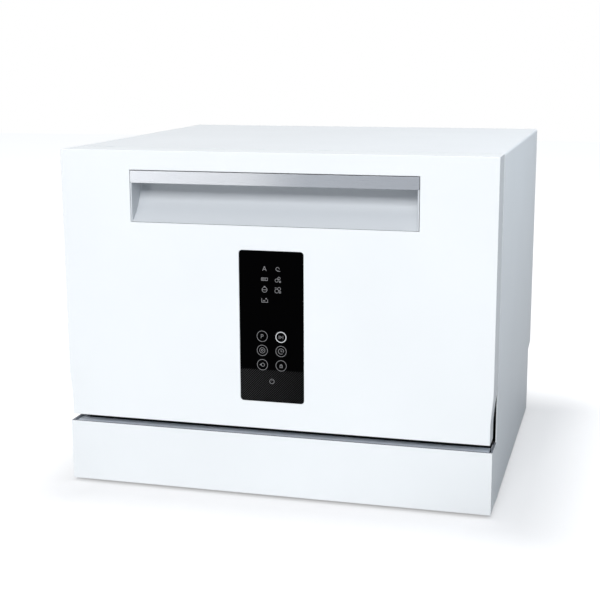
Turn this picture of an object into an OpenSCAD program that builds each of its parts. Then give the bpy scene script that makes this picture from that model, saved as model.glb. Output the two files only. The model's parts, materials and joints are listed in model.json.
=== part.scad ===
// Countertop dishwasher with a fold-down door, a roll-out dish rack and a plinth.
// Millimetres, +Z up, the door faces -Y. The origin is on the worktop, under the middle.

/* [Body] */
// Width across the cabinet
body_w = 551; // [540:1:600]
// Depth from the front of the door to the rear edge of the cabinet
body_d = 508; // [500:1:560]
// Height from the worktop to the top of the cabinet
body_h = 438; // [436:1:480]
// Height of the feet that show under the cabinet
foot_h = 4.5; // [4:0.5:8]
// Radius of the rubber feet
foot_r = 14; // [10:0.5:18]
// Thickness of the cabinet's sheet steel
sheet_t = 1; // [0.8:0.1:1.2]
// Outer radius of the cabinet's top folds
fold_r = 3; // [2.6:0.1:6]
// Width of the hem folded back along the cabinet's front edge
hem_w = 12; // [8:0.5:16]
// How far the lower rear is set in, for the hoses
notch_d = 33; // [28:0.5:40]
// Height of the set-in rear above the cabinet's bottom edge
notch_h = 95; // [92:0.5:100]
// Rise of the slanted sheet over the set-in rear
notch_rise = 5.6; // [4:0.1:12]

/* [Plinth and tray] */
// Height of the plinth
plinth_h = 78.8; // [76:0.1:82]
// Thickness of the plinth's walls
plinth_t = 2.5; // [2:0.1:3]
// Thickness of the base tray's walls
tray_t = 2.5; // [2:0.1:3]

// Depth of the shelf behind the plinth's upper edge
shelf_d = 24; // [12:0.5:26]
// How far that shelf lies under the plinth's upper edge
shelf_drop = 1.5; // [1:0.1:3]

/* [Door] */
// How far the door and the plinth stand in from each side of the cabinet
door_set_in = 0.5; // [0.2:0.1:1]
// Depth of the door's sides
door_d = 44; // [43:0.5:48]
// Thickness of the door's outer shell
door_t = 2; // [1.2:0.1:2.2]
// Gap between the plinth and the door
door_gap = 9; // [8.5:0.1:12]
// Seam between the door and the cabinet
seam = 2; // [1:0.1:3]
// Depth of the door's sides at the bottom
door_low_d = 30; // [26:0.5:32]
// How much each side of the door draws in at the bottom
door_narrow = 3; // [2.8:0.1:4]
// Height over the door's bottom where the drawing-in ends
narrow_z0 = 20.2; // [16:0.1:24]
// Height over the door's bottom where the full width starts
narrow_z1 = 67.2; // [60:0.1:80]
// Hinge axis behind the front of the door
hinge_back = 24; // [22:0.1:24.5]
// Hinge axis above the bottom of the door
hinge_rise = 34.2; // [33.6:0.1:36]
// Radius of the hinge pins
pin_r = 3; // [2.5:0.1:4]
// Running clearance round pins and plugs
run_gap = 0.05; // [0.03:0.01:0.08]

/* [Finger recess] */
// Width of the recess in the door
recess_w = 364; // [300:1:400]
// Height of the recess, with the steel strip
recess_h = 64; // [58:0.5:70]
// Distance from the top of the door to the recess
recess_drop = 25.1; // [20:0.1:32]
// Depth of the recess behind the front of the door
recess_d = 33; // [26:0.5:36]
// Wall of the recess moulding
recess_t = 2; // [1.5:0.1:2.5]
// Height of the steel strip
strip_h = 15.4; // [12:0.1:18]
// Thickness of the steel strip
strip_t = 3; // [2:0.1:4]

/* [Touch panel] */
// Width of the glass
glass_w = 82; // [76:0.5:90]
// Gap between the recess and the glass
glass_drop = 30.6; // [26:0.2:36]
// Bottom of the glass over the door's bottom edge
glass_rise = 35.2; // [32:0.2:40]
// Thickness of the glass
glass_t = 3; // [2.5:0.1:4]
// Corner radius of the glass
glass_r = 4; // [2:0.5:6]
// Outer radius of a ring key
key_r = 7; // [6:0.1:7.6]
// Width of the printed lines
line_w = 0.6; // [0.5:0.1:0.9]

/* [Tub] */
// Space between the tub and the outer face of the cabinet, each side
tub_side = 30; // [29.5:0.1:34]
// Space between the tub's ceiling and the top of the cabinet
tub_head = 18; // [17:0.1:22]
// Space between the tub's rear wall and the rear of the cabinet
tub_rear = 49; // [47:0.5:56]
// Height of the tub's floor over the hinge axis
tub_rise = 7.5; // [7:0.1:9]
// Thickness of the tub's sheet
tub_t = 1; // [0.8:0.1:1.2]
// Radius of the tub's long edges
tub_r = 20; // [14:0.5:24]
// Width of the door gasket's face
gasket_w = 4; // [3:0.1:4.2]
// Thickness of the insulation on the tub
wrap_t = 3; // [2:0.1:3.2]

/* [Rack] */
// Height of the rack
rack_h = 119; // [100:1:124]
// Height of the rack's underside over the tub's floor
rack_rise = 47; // [44:0.5:52]
// Thickness of a rack wire
wire_t = 3; // [2.6:0.1:3.4]
// Travel of the rack
rack_travel = 200; // [160:1:200]
// Radius of a rack roller
roller_r = 12; // [10:0.1:12]
// Width of a rack roller
roller_w = 9; // [7:0.1:9.4]
// Depth of the rack rails
rail_d = 14; // [13.4:0.1:15]
// Length of the cutlery basket
cutlery_l = 220; // [180:1:230]
// Width of the cutlery basket
cutlery_w = 78; // [66:0.5:82]
// Height of the cutlery basket
cutlery_h = 104; // [80:1:106]

/* [Wash system] */
// Length of the spray arm from its axis to its tip
arm_l = 175; // [140:1:182]
// Width of the spray arm
arm_w = 44; // [36:1:50]
// Radius of the spray arm's pivot
pivot_r = 8; // [6:0.1:9]
// Radius of the sump bowl
bowl_r = 105; // [100:0.5:110]
// Radius of the filter cup
filter_r = 33; // [28:0.5:36]
// Radius of the salt cap
salt_cap_r = 27; // [24:0.5:28]
// Travel of the float
float_travel = 8; // [4:0.5:10]
// Radius of the threaded water inlet
inlet_r = 13.2; // [10:0.1:14]
// Length of the inlet's thread
inlet_l = 13; // [9:0.5:18]
// Radius of the drain spigot
drain_r = 9; // [7:0.1:11]
// Length of the drain spigot
drain_l = 24; // [18:0.5:28]
// Radius of the mains cord's bore
cord_r = 4; // [3:0.1:5]
// Travel of the detergent lid
lid_travel = 74; // [60:1:74]

/* [Hidden] */
$fn = 48;

// Clearances
seat = 0.2;      // between two pieces of one body that sit together
move = 0.3;      // between two bodies that pass or rest close together
cut = 1;         // overshoot of a cutting solid
lap = 0.5;       // overlap of two solids that are joined

// Outer lines
case_hw = body_w / 2;
half_w = case_hw - door_set_in;             // half width of the door and the plinth
front_y = -body_d / 2;
rear_y = body_d / 2;
door_back_y = front_y + door_d;
cabinet_y = door_back_y + seam;
plinth_z = foot_h + plinth_h;
door_z = plinth_z + door_gap;
hinge_y = front_y + hinge_back;
hinge_z = door_z + hinge_rise;
notch_z = foot_h + notch_h;
hem_t = 2 * sheet_t;
rear_inset = 2.5;                        // the back panel's flange lies in from the rear edge
flange_w = 10;                           // width of the cabinet's rear flange
flange_y = rear_y - rear_inset;
tray_rear_y = flange_y - notch_d + 0.5;

// Tub
tub_hw = half_w - tub_side;
tub_z = hinge_z + tub_rise;
tub_top_z = body_h - tub_head;
tub_y = cabinet_y + 2;
tub_rear_y = rear_y - tub_rear;
mouth_low = 3.5;                         // the tub's mouth flange starts this far over the hinge axis
hinge_slot_h = 74;                       // height over the hinge axis that the arms and brackets need

// Door liner
rim_y = door_back_y - 0.5;
liner_t = 1;
liner_push = 12;                         // how far the liner's middle stands back from its rim
liner_y = rim_y + liner_push + 0.5;
liner_side = 7;                          // between the raised liner and the tub's mouth
liner_r = 14;
liner_low = 19.5;                        // raised part over the hinge axis
liner_low_hw = half_w - 24.5;

// Hinges
bracket_x = half_w - 20;
bracket_t = 3;
arm_x = half_w - 13;
arm_t = 2.5;
hub_r = 11;
bracket_y = [54, 80];                    // foot of the bracket behind the axis
bracket_h = 38;                          // top of the bracket over the axis
flange_h = [hinge_slot_h + 4, 124];      // the arm's flange over the axis
tail_l = 60;
spring_r = 4.5;
spring_x = arm_x + arm_t / 2 + 0.75;

// Rack
rack_hw = tub_hw - rail_d - 5;
rack_z = tub_z + rack_rise;
rack_top_z = rack_z + rack_h;
rack_front_y = liner_y + 38;
rack_foot_y = rack_front_y + 50;
rack_rear_y = tub_rear_y - 15;
rail_z = rack_z + 15;
rail_t = 2;
rail_gap = 2 * roller_r + 2 * move + 0.4;
roller_z = rail_z + move + roller_r;
roller_x = tub_hw - rail_d + move + 0.4;
roller_front_y = tub_y + rack_travel + roller_r + 4;   // still on the rail when the rack is out
roller_rear_y = rack_rear_y - 15;
axle_r = 2.5;

// Wash system
filter_y = -75;
bowl_y = -40;
bowl_wall = 3;
bowl_z = tub_z - 56;
pipe_z = foot_h + 55.5;
arm_z = tub_z + 13.3;
arm_t_spray = 14;
salt_x = half_w - 80;
salt_y = tub_rear_y - 90;
salt_r = salt_cap_r - 2;
float_x = -(tub_hw - 40);
float_y = tub_y + 36;
stem_r = 4;
stem_z = tub_z - float_travel - 9;       // the float's stem stays in its hole when it is up
port_z = foot_h + 40.5;
drain_z = port_z + 10;
collar = 2;                              // collar of a port, in width and behind the tray's wall
port_y = tray_rear_y + collar;
tray_in_y = tray_rear_y - tray_t;        // inner face of the tray's rear wall
valve_y = tray_in_y - 31;
air_x0 = tub_hw + tub_t + wrap_t + seat;
air_x1 = half_w - sheet_t - 3;
air_x = (air_x0 + air_x1) / 2;
air_z = tub_z + 16;
cup_r = filter_r + 17;                   // the sump's cup round the filter
drain_pump_l = 60;
drain_x = cup_r + 20 + drain_pump_l / 2;
inlet_x = half_w - 90;
gland_x = -(half_w - 85);
pump_x = -150;
heater_x = -136;
floor_z = foot_h + tray_t;               // top of the base tray's floor

// Touch panel
glass_y = front_y + 0.3;
glass_z = door_z + glass_rise;
glass_h = body_h - recess_drop - recess_h - glass_drop - glass_z;
icon_t = 0.2;
icon_y = glass_y - icon_t;

// Recess and strip
recess_z1 = body_h - recess_drop;
recess_z0 = recess_z1 - recess_h;
strip_z = recess_z1 - strip_h;

// Dispenser
disp_hw = 105;
disp_z0 = hinge_z + 95.5;
disp_z1 = disp_z0 + 116;
disp_y = liner_y + 1.5;
lid_z0 = disp_z0 + 13;
lid_z1 = lid_z0 + 78;
lid_x0 = -97;
lid_x1 = -18;
lid_t = 2;
cap_x = 83;
cap_z = disp_z0 + 52;
cap_plug_r = 10;

// Points of an arc
function arc(cx, cy, r, a0, a1, n = 6) =
    [for (i = [0:n]) let (a = a0 + (a1 - a0) * i / n) [cx + r * cos(a), cy + r * sin(a)]];

// Outline of a rectangle with round corners
function round_rect(x0, y0, x1, y1, r) = concat(
    arc(x1 - r, y1 - r, r, 0, 90), arc(x0 + r, y1 - r, r, 90, 180),
    arc(x0 + r, y0 + r, r, 180, 270), arc(x1 - r, y0 + r, r, 270, 360));

// Outline of the cabinet's wrap, drawn in by i, that runs down to z0
function wrap_outline(i, z0) = let (r = fold_r - min(i, fold_r - 0.4)) concat(
    [[case_hw - i, z0]], arc(case_hw - i - r, body_h - i - r, r, 0, 90, 4),
    arc(-case_hw + i + r, body_h - i - r, r, 90, 180, 4), [[-case_hw + i, z0]]);

// Outline of the tub's section, grown by i
function tub_outline(i) = round_rect(-tub_hw - i, tub_z - i, tub_hw + i, tub_top_z + i, tub_r + i);

// Half width of the door at height z over its bottom edge: full width above, drawn in below
function smooth(t) = t * t * (3 - 2 * t);
function door_hw(z) = half_w - door_narrow
    * (1 - smooth(min(1, max(0, (z - narrow_z0) / (narrow_z1 - narrow_z0)))));
function door_outline(i) = let (
    h = body_h - door_z,
    zs = concat([i], [for (k = [0:8]) narrow_z0 + (narrow_z1 - narrow_z0) * k / 8], [h - i]))
    concat([for (z = zs) [door_hw(z) - i, door_z + z]],
        [for (k = [len(zs) - 1:-1:0]) [i - door_hw(zs[k]), door_z + zs[k]]]);

// A block between two corners, given as pairs of limits
module block(x, y, z)
    translate([x[0], y[0], z[0]]) cube([x[1] - x[0], y[1] - y[0], z[1] - z[0]]);

// A block whose plan corners are round
module round_block(x, y, z, r)
    translate([0, 0, z[0]]) linear_extrude(z[1] - z[0]) polygon(round_rect(x[0], y[0], x[1], y[1], r));

// An X-Z outline extruded from y0 to y1
module along_y(y0, y1)
    translate([0, y1, 0]) rotate([90, 0, 0]) linear_extrude(y1 - y0) children();

// A Y-Z outline extruded from x0 to x1
module along_x(x0, x1)
    translate([x0, 0, 0]) rotate([90, 0, 90]) linear_extrude(x1 - x0) children();

// Rods along each axis
module rod_x(x0, x1, y, z, r)
    translate([x0, y, z]) rotate([0, 90, 0]) cylinder(h = x1 - x0, r = r);
module rod_y(y0, y1, x, z, r)
    translate([x, y1, z]) rotate([90, 0, 0]) cylinder(h = y1 - y0, r = r);
module rod_z(z0, z1, x, y, r)
    translate([x, y, z0]) cylinder(h = z1 - z0, r = r);

// A quarter bend of pipe in the X-Y plane, from angle a to a + 90
module bend(x, y, z, rb, r, a)
    translate([x, y, z]) rotate([0, 0, a]) rotate_extrude(angle = 90) translate([rb, 0]) circle(r);

// Both sides of the machine; s is -1 on the left and 1 on the right
module side(s) mirror([s < 0 ? 1 : 0, 0, 0]) children();

// ---------------------------------------------------------------- cabinet and base

screw_zs = [for (i = [0:3]) notch_z + 30 + (body_h - notch_z - 50) * i / 3];
screw_xs = [-case_hw + 150, 0, case_hw - 150];

// The screws of the back panel, each drawn by the children
module at_back_screws() {
    for (s = [-1, 1], z = screw_zs) translate([s * (case_hw - 6), 0, z]) children();
    for (x = screw_xs) translate([x, 0, body_h - 6]) children();
}

module outer_cabinet() color("white") difference() {
    along_y(cabinet_y, rear_y) polygon(wrap_outline(0, foot_h));
    along_y(cabinet_y - cut, cabinet_y + hem_w) polygon(wrap_outline(hem_t, foot_h - cut));
    along_y(cabinet_y + hem_w - cut, flange_y - sheet_t) polygon(wrap_outline(sheet_t, foot_h - cut));
    along_y(flange_y - sheet_t - cut, flange_y + cut) polygon(wrap_outline(flange_w, foot_h - cut));
    along_y(flange_y, rear_y + cut) polygon(wrap_outline(sheet_t, foot_h - cut));
    along_x(-case_hw - cut, case_hw + cut) polygon([
        [rear_y - notch_d, foot_h - cut], [rear_y - notch_d, notch_z],
        [rear_y + cut, notch_z + notch_rise], [rear_y + cut, foot_h - cut]]);
    at_back_screws() rod_y(flange_y - 8, flange_y + cut, 0, 0, 1.7);
}

module back_panel() color("gainsboro") difference() {
    panel_y = flange_y - sheet_t;
    lip_z = notch_z - 12;
    along_x(-case_hw + sheet_t + seat, case_hw - sheet_t - seat) polygon([
        [panel_y - sheet_t, body_h - sheet_t - seat], [panel_y, body_h - sheet_t - seat],
        [panel_y, notch_z + notch_rise + 2], [tray_rear_y + sheet_t, notch_z],
        [tray_rear_y + sheet_t, lip_z], [tray_rear_y, lip_z],
        [tray_rear_y, notch_z + 1], [panel_y - sheet_t, notch_z + notch_rise + 3]]);
    at_back_screws() rod_y(panel_y - sheet_t - cut, panel_y + cut, 0, 0, 1.7);
    // Two banks of vent slots
    for (s = [-1, 1], i = [0:5])
        block([s * 130 - 40, s * 130 + 40], [panel_y - sheet_t - cut, panel_y + cut],
            [notch_z + 60 + 14 * i, notch_z + 65 + 14 * i]);
}

module back_screws() color("silver") at_back_screws() union() {
    rod_y(flange_y + seat / 2, flange_y + 2.2, 0, 0, 3.5);
    rod_y(flange_y - 7, flange_y + 1, 0, 0, 1.5);
}

foot_y = [cabinet_y + foot_r + 14, tray_rear_y - foot_r - 11];
foot_x = half_w - foot_r - 21;

module base_tray() color("dimgray") difference() {
    hw = case_hw - sheet_t - seat;
    post_z = tub_z - tub_t;
    wall_y = hinge_y + hinge_rise + 2.6;
    union() {
        block([-hw, hw], [cabinet_y, tray_rear_y], [foot_h, floor_z]);
        block([-hw, hw], [cabinet_y, cabinet_y + tray_t], [foot_h, plinth_z]);
        block([-hw, hw], [tray_rear_y - tray_t, tray_rear_y], [foot_h, notch_z - 0.5]);
        // Cross wall behind the space that the door's lower edge swings through
        block([-liner_low_hw, liner_low_hw], [wall_y, wall_y + tray_t], [floor_z - lap, post_z]);
        for (s = [-1, 1]) side(s) {
            block([hw - tray_t, hw], [cabinet_y, tray_rear_y], [foot_h, plinth_z - 1]);
            // Posts that carry the tub
            for (y = [cabinet_y + 88, tub_rear_y - 8])
                block([tub_hw - tub_r - 16, tub_hw - tub_r - 2], [y, y + 9], [floor_z - lap, post_z]);
        }
    }
    for (s = [-1, 1], y = foot_y) rod_z(foot_h - cut, floor_z + cut, s * foot_x, y, 4 + seat);
    // Relief for the cabinet's hem
    for (s = [-1, 1]) side(s) block([case_hw - hem_t - seat, case_hw],
        [cabinet_y - cut, cabinet_y + hem_w + seat], [foot_h - cut, plinth_z + cut]);
    rod_y(tray_rear_y - 2 * tray_t, tray_rear_y + cut, inlet_x, port_z, inlet_r + collar + seat);
    rod_y(tray_rear_y - 2 * tray_t, tray_rear_y + cut, drain_x, drain_z, drain_r + collar + seat);
    rod_y(tray_rear_y - 2 * tray_t, tray_rear_y + cut, gland_x, port_z, cord_r + 4 + seat);
}

// Front and side walls, with a shelf that shows in the gap under the door
module plinth() color("whitesmoke") {
    inner_hw = half_w - plinth_t;
    difference() {
        block([-half_w, half_w], [front_y, door_back_y], [foot_h, plinth_z]);
        block([-inner_hw, inner_hw], [front_y + plinth_t, door_back_y + cut],
            [foot_h - cut, plinth_z + cut]);
    }
    block([-inner_hw + plinth_t, inner_hw - plinth_t], [front_y + plinth_t - lap, front_y + shelf_d],
        [plinth_z - shelf_drop - plinth_t, plinth_z - shelf_drop]);
    // Flanges that bear on the tray's front wall
    for (s = [-1, 1]) side(s) {
        block([inner_hw - plinth_t, inner_hw + lap], [door_back_y - 12, door_back_y],
            [foot_h + 4, plinth_z - 4]);
        block([inner_hw - plinth_t, inner_hw - seat], [door_back_y - lap, cabinet_y],
            [foot_h + 4, plinth_z - 4]);
    }
}

module rubber_feet() color("black") for (s = [-1, 1], y = foot_y) union() {
    rod_z(0, foot_h, s * foot_x, y, foot_r);
    rod_z(foot_h - lap, foot_h + 9, s * foot_x, y, 4);
}

// ---------------------------------------------------------------- tub

latch_z = tub_top_z + 6;                 // underside of the latch slot
latch_h = 8;
latch_hw = 13;

module tub() color("silver") difference() {
    narrow_x = bracket_x - 0.5;
    slot_z = hinge_z + hinge_slot_h;
    wide_x = case_hw - hem_t - seat;
    top = body_h - hem_t - seat;
    union() {
        along_y(tub_y, tub_rear_y + tub_t) polygon(tub_outline(tub_t));
        along_y(tub_y, tub_y + tub_t) polygon([
            [narrow_x, hinge_z + mouth_low], [narrow_x, slot_z], [wide_x, slot_z], [wide_x, top],
            [-wide_x, top], [-wide_x, slot_z], [-narrow_x, slot_z], [-narrow_x, hinge_z + mouth_low]]);
    }
    along_y(tub_y - cut, tub_rear_y) polygon(tub_outline(0));
    rod_z(tub_z - 3, tub_z + cut, 0, bowl_y, bowl_r);
    rod_z(tub_z - 3, tub_z + cut, salt_x, salt_y, salt_r + seat);
    rod_z(tub_z - 3, tub_z + cut, float_x, float_y, stem_r + seat + seat);
    block([-latch_hw, latch_hw], [tub_y - cut, tub_y + tub_t + cut], [latch_z, latch_z + latch_h]);
}

module tub_insulation() color("dimgray") difference() {
    along_y(tub_y + 46, tub_rear_y - 6) polygon(tub_outline(tub_t + wrap_t));
    along_y(tub_y + 45, tub_rear_y) polygon(tub_outline(tub_t));
    block([-half_w, half_w], [tub_y, rear_y], [foot_h, tub_z + 16]);
}

module door_gasket() color("dimgray") difference() {
    along_y(rim_y + move, tub_y) polygon(tub_outline(gasket_w + 1));
    along_y(rim_y, tub_y + cut) polygon(tub_outline(1));
    block([-half_w, half_w], [rim_y, tub_y + cut], [foot_h, tub_z + tub_r]);
}

module sill_seal() color("dimgray")
    block([-tub_hw + 12, tub_hw - 12], [tub_y - 2.5, tub_y], [hinge_z + mouth_low + 0.5, tub_z]);

module rack_rail(s) color("lightgray") side(s) along_y(liner_y + 1, tub_rear_y - 5)
    polygon([[tub_hw - rail_d, rail_z - rail_t], [tub_hw, rail_z - rail_t],
        [tub_hw, rail_z + rail_gap + rail_t], [tub_hw - rail_d, rail_z + rail_gap + rail_t],
        [tub_hw - rail_d, rail_z + rail_gap], [tub_hw - rail_t, rail_z + rail_gap],
        [tub_hw - rail_t, rail_z], [tub_hw - rail_d, rail_z]]);
module rack_rail_left() rack_rail(-1);
module rack_rail_right() rack_rail(1);

module door_latch() color("dimgray") difference() {
    block([-25, 25], [tub_y + tub_t, tub_y + 36], [tub_top_z + tub_t, body_h - hem_t - seat]);
    block([-latch_hw, latch_hw], [tub_y, tub_y + 21], [latch_z, latch_z + latch_h]);
}

// ---------------------------------------------------------------- hinges

module hinge_bracket(s) color("darkgray") side(s) difference() {
    along_x(bracket_x, bracket_x + bracket_t) union() {
        translate([hinge_y, hinge_z]) circle(hub_r);
        polygon([for (p = [[-9, 5], [bracket_y[0], 5], [bracket_y[0], floor_z - hinge_z],
            [bracket_y[1], floor_z - hinge_z], [bracket_y[1], bracket_h], [10, bracket_h], [-9, 20]])
            [hinge_y + p[0], hinge_z + p[1]]]);
    }
    rod_x(bracket_x - cut, bracket_x + bracket_t + cut, hinge_y, hinge_z, pin_r + run_gap);
}
module hinge_bracket_left() hinge_bracket(-1);
module hinge_bracket_right() hinge_bracket(1);

tail = tail_l * cos(45);                 // the tail's end lies this far behind and below the axis

module hinge_arm(s) color("darkgray") side(s) union() {
    along_x(arm_x, arm_x + arm_t) difference() {
        union() {
            translate([hinge_y, hinge_z]) circle(hub_r);
            translate([hinge_y + tail, hinge_z - tail]) circle(6);
            polygon([for (p = [[-hub_r, 0], [hub_r - 2, 0], [hub_r - 2, flange_h[1]], [-hub_r, flange_h[1]]])
                [hinge_y + p[0], hinge_z + p[1]]]);
            polygon([for (p = [[-4.2, -4.2], [4.2, 4.2], [tail + 4.2, 4.2 - tail],
                [tail - 4.2, -tail - 4.2]]) [hinge_y + p[0], hinge_z + p[1]]]);
        }
        translate([hinge_y + tail, hinge_z - tail]) circle(2);
    }
    // Flange that is screwed to the liner's rim
    block([arm_x - 22, arm_x + arm_t], [rim_y - liner_t - 2.5, rim_y - liner_t],
        [hinge_z + flange_h[0], hinge_z + flange_h[1]]);
    block([arm_x, arm_x + arm_t], [hinge_y, rim_y - liner_t], [hinge_z + flange_h[0], hinge_z + flange_h[1]]);
    rod_x(bracket_x - 1.5, arm_x + lap, hinge_y, hinge_z, pin_r);
}
module hinge_arm_left() hinge_arm(-1);
module hinge_arm_right() hinge_arm(1);

// The spring's coils as a tube, with the hooks at its ends
module hinge_spring(s) color("silver") side(s) translate([spring_x, hinge_y + tail, 0]) {
    spring_z1 = hinge_z - tail - 8.4;
    difference() {
        rod_z(floor_z + 12, spring_z1 - 6, 0, 0, spring_r);
        rod_z(floor_z + 13, spring_z1 - 7, 0, 0, spring_r - 1.2);
    }
    rod_z(spring_z1 - 6 - lap, spring_z1, 0, 0, 1);
    rod_z(floor_z, floor_z + 12 + lap, 0, 0, 1);
}
module hinge_spring_left() hinge_spring(-1);
module hinge_spring_right() hinge_spring(1);

// ---------------------------------------------------------------- door

module door_front() color("white") difference() {
    intersection() {
        along_y(front_y, door_back_y) polygon(door_outline(0));
        along_x(-half_w - cut, half_w + cut) polygon([
            [front_y, door_z], [front_y + door_low_d, door_z], [front_y + door_low_d, door_z + narrow_z0 + 2],
            [door_back_y, door_z + narrow_z1 + 10], [door_back_y, body_h], [front_y, body_h]]);
    }
    along_y(front_y + door_t, door_back_y + cut) polygon(door_outline(door_t));
    // The bottom wall ends at the hinge axis, so that it clears the brackets
    block([-half_w + door_narrow + door_t, half_w - door_narrow - door_t],
        [hinge_y, door_back_y + cut], [door_z - cut, door_z + door_t + cut]);
    block([-recess_w / 2 - 0.5, recess_w / 2 + 0.5], [front_y - cut, front_y + door_t + cut],
        [recess_z0 - 0.5, recess_z1 + 0.7]);
    along_y(front_y - cut, front_y + door_t + cut) polygon(round_rect(
        -glass_w / 2 - seat, glass_z - seat, glass_w / 2 + seat, glass_z + glass_h + seat, glass_r + seat));
}

// Section of the scoop, as depth and height over the recess's lower edge
scoop_ctrl = [recess_d - 4, 20];
scoop_h = recess_h - 8;
function scoop(i, n = 12) = [for (k = [0:n]) let (t = k / n, u = 2 * t * (1 - t))
    [u * scoop_ctrl[0] + t * t * recess_d + i, u * scoop_ctrl[1] + t * t * scoop_h - i]];

module finger_recess() color("lightsteelblue") difference() {
    hw = recess_w / 2;
    outer = [for (p = scoop(recess_t)) [front_y + min(p[0], recess_d + recess_t), recess_z0 + max(p[1], 0)]];
    inner = [for (p = scoop(0)) [front_y + p[0], recess_z0 + p[1]]];
    along_x(-hw, hw) polygon(concat([[front_y, recess_z0]], outer,
        [[front_y + recess_d + recess_t, recess_z1], [front_y, recess_z1]]));
    along_x(-hw + recess_t, hw - recess_t) polygon(concat([[front_y - cut, recess_z0 - cut]], inner,
        [[front_y + recess_d, recess_z1 - recess_t], [front_y - cut, recess_z1 - recess_t]]));
    block([-hw - cut, hw + cut], [front_y - cut, front_y + strip_t + seat / 2], [strip_z, recess_z1 + cut]);
}

module steel_strip() color("silver")
    block([-recess_w / 2, recess_w / 2], [front_y, front_y + strip_t], [strip_z + seat / 2, recess_z1]);

module touch_glass() color("black") along_y(glass_y, glass_y + glass_t)
    polygon(round_rect(-glass_w / 2, glass_z, glass_w / 2, glass_z + glass_h, glass_r));

// Places of the printed marks, over the bottom of the glass
key_dx = 12.1;
key_zs = [47.4, 65.7, 83.7];
lamp_dx = 8.4;
lamp_zs = [for (i = [0:3]) glass_h - 61.4 + 13.2 * i];
power_z = 26.6;

// A printed mark: its own outline, laid on the glass
module mark(x, z) translate([x, 0, glass_z + z]) along_y(icon_y, icon_y + icon_t) children();
module ring(r, w = line_w) difference() { circle(r); circle(r - w); }
module bar(x, y, w, h) translate([x - w / 2, y - h / 2]) square([w, h]);
module frame(x, y, w, h) difference() { bar(x, y, w, h); bar(x, y, w - 2 * line_w, h - 2 * line_w); }

// Two slanted strokes with a cross bar, the mark of the automatic programme
module automatic() {
    for (m = [0, 1]) mirror([m, 0]) polygon([[-2.7, -2.8], [-2, -2.8], [0.4, 2.8], [-0.4, 2.8]]);
    bar(0, -1, 3, line_w);
}

// Two plates, the front one whole, with a cup beside them
module plates(r) {
    translate([-1.2, -1]) ring(r);
    difference() {
        translate([1.8, 1.8]) ring(r - 0.5);
        translate([-1.2, -1]) circle(r);
    }
    frame(3, -2.4, 2.2, 2.4);
}

// Pictograms of the programme lamps
module lamp_mark(k) {
    if (k == 0) automatic();
    if (k == 1) {
        difference() { ring(2.4); bar(2, -1, 3, 1.6); }
        bar(1.6, -2.6, 3.6, line_w);
    }
    if (k == 2) { frame(0, 0, 8.4, 3.8); for (i = [-1:1]) bar(1.7 * i - 0.8, 0, line_w, 3.4); }
    if (k == 3) plates(2.3);
    if (k == 4) { ring(3.5); bar(0, 0, 6.6, line_w); bar(0, 3.9, 2, 1.2); }
    if (k == 5) { plates(2.7); bar(-2.6, 2.9, 2.4, line_w); }
    if (k == 6) {
        bar(-3.8, 0, line_w, 5.4);
        bar(3.8, -0.8, line_w, 3.8);
        bar(0, -2.5, 8, line_w);
        for (x = [-1.8, 0]) bar(x, -0.6, 1, 1.6);
        translate([1.9, 2]) circle(0.9);
    }
}

// Pictograms of the keys: programme, start and pause, extra drying, delay, half load, lock
module key_mark(k) {
    if (k == 0) {
        bar(-1.3, 0, line_w, 5);
        difference() {
            union() { translate([0.2, 1.05]) circle(1.45); bar(-0.6, 1.05, 1.6, 2.9); }
            translate([0.2, 1.05]) circle(1.45 - line_w);
            bar(-0.6, 1.05, 1.6, 2.9 - 2 * line_w);
        }
    }
    if (k == 1) {
        for (x = [-2.6, 2.6]) bar(x, 0, line_w, 4);
        difference() {
            polygon([[-1.6, -2], [1.8, 0], [-1.6, 2]]);
            polygon([[-1, -1], [0.7, 0], [-1, 1]]);
        }
    }
    if (k == 2) { ring(3.7); ring(1.5); }
    if (k == 3) {
        difference() { ring(3.7); bar(3, -2, 2.4, 1.6); }
        bar(0, 0.8, line_w, 2.6);
        bar(0.9, -0.3, 2.2, line_w);
    }
    if (k == 4) {
        translate([0.6, 0]) ring(2.4);
        polygon([[-3.8, 0], [-1.4, 1.3], [-1.4, -1.3]]);
    }
    if (k == 5) {
        frame(0, -1.1, 3.8, 3.2);
        difference() { translate([0, 0.5]) ring(1.5); bar(0, -1.1, 3.8, 3.2); }
        bar(0, -1.1, line_w, 1.2);
    }
}

module panel_icons() color("white") {
    for (i = [0:2], s = [0, 1]) {
        // The start key's ring is the heavy one
        mark((2 * s - 1) * key_dx, key_zs[i]) ring(key_r, i == 2 && s == 1 ? 1.7 * line_w : line_w);
        mark((2 * s - 1) * key_dx, key_zs[i]) key_mark(2 * (2 - i) + s);
    }
    for (i = [0:3], s = [0, 1]) if (i > 0 || s == 0)
        mark((2 * s - 1) * lamp_dx, lamp_zs[i]) lamp_mark(i == 0 ? 6 : 2 * (3 - i) + s);
    mark(0, power_z) difference() { ring(3.2); bar(0, 3, 2.4, 2.4); }
    mark(0, power_z) bar(0, 2.2, line_w, 3.2);
}

module display_housing() color("dimgray") difference() {
    hw = glass_w / 2 + 6;
    y0 = front_y + door_t;
    floor_y = glass_y + glass_t;
    block([-hw, hw], [y0, y0 + 14], [glass_z - 6, glass_z + glass_h + 6]);
    block([-glass_w / 2 - seat, glass_w / 2 + seat], [y0 - cut, floor_y],
        [glass_z - seat, glass_z + glass_h + seat]);
    block([-hw + 10, hw - 10], [floor_y + 1.5, y0 + 12], [glass_z + 4, glass_z + glass_h - 4]);
}

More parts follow.
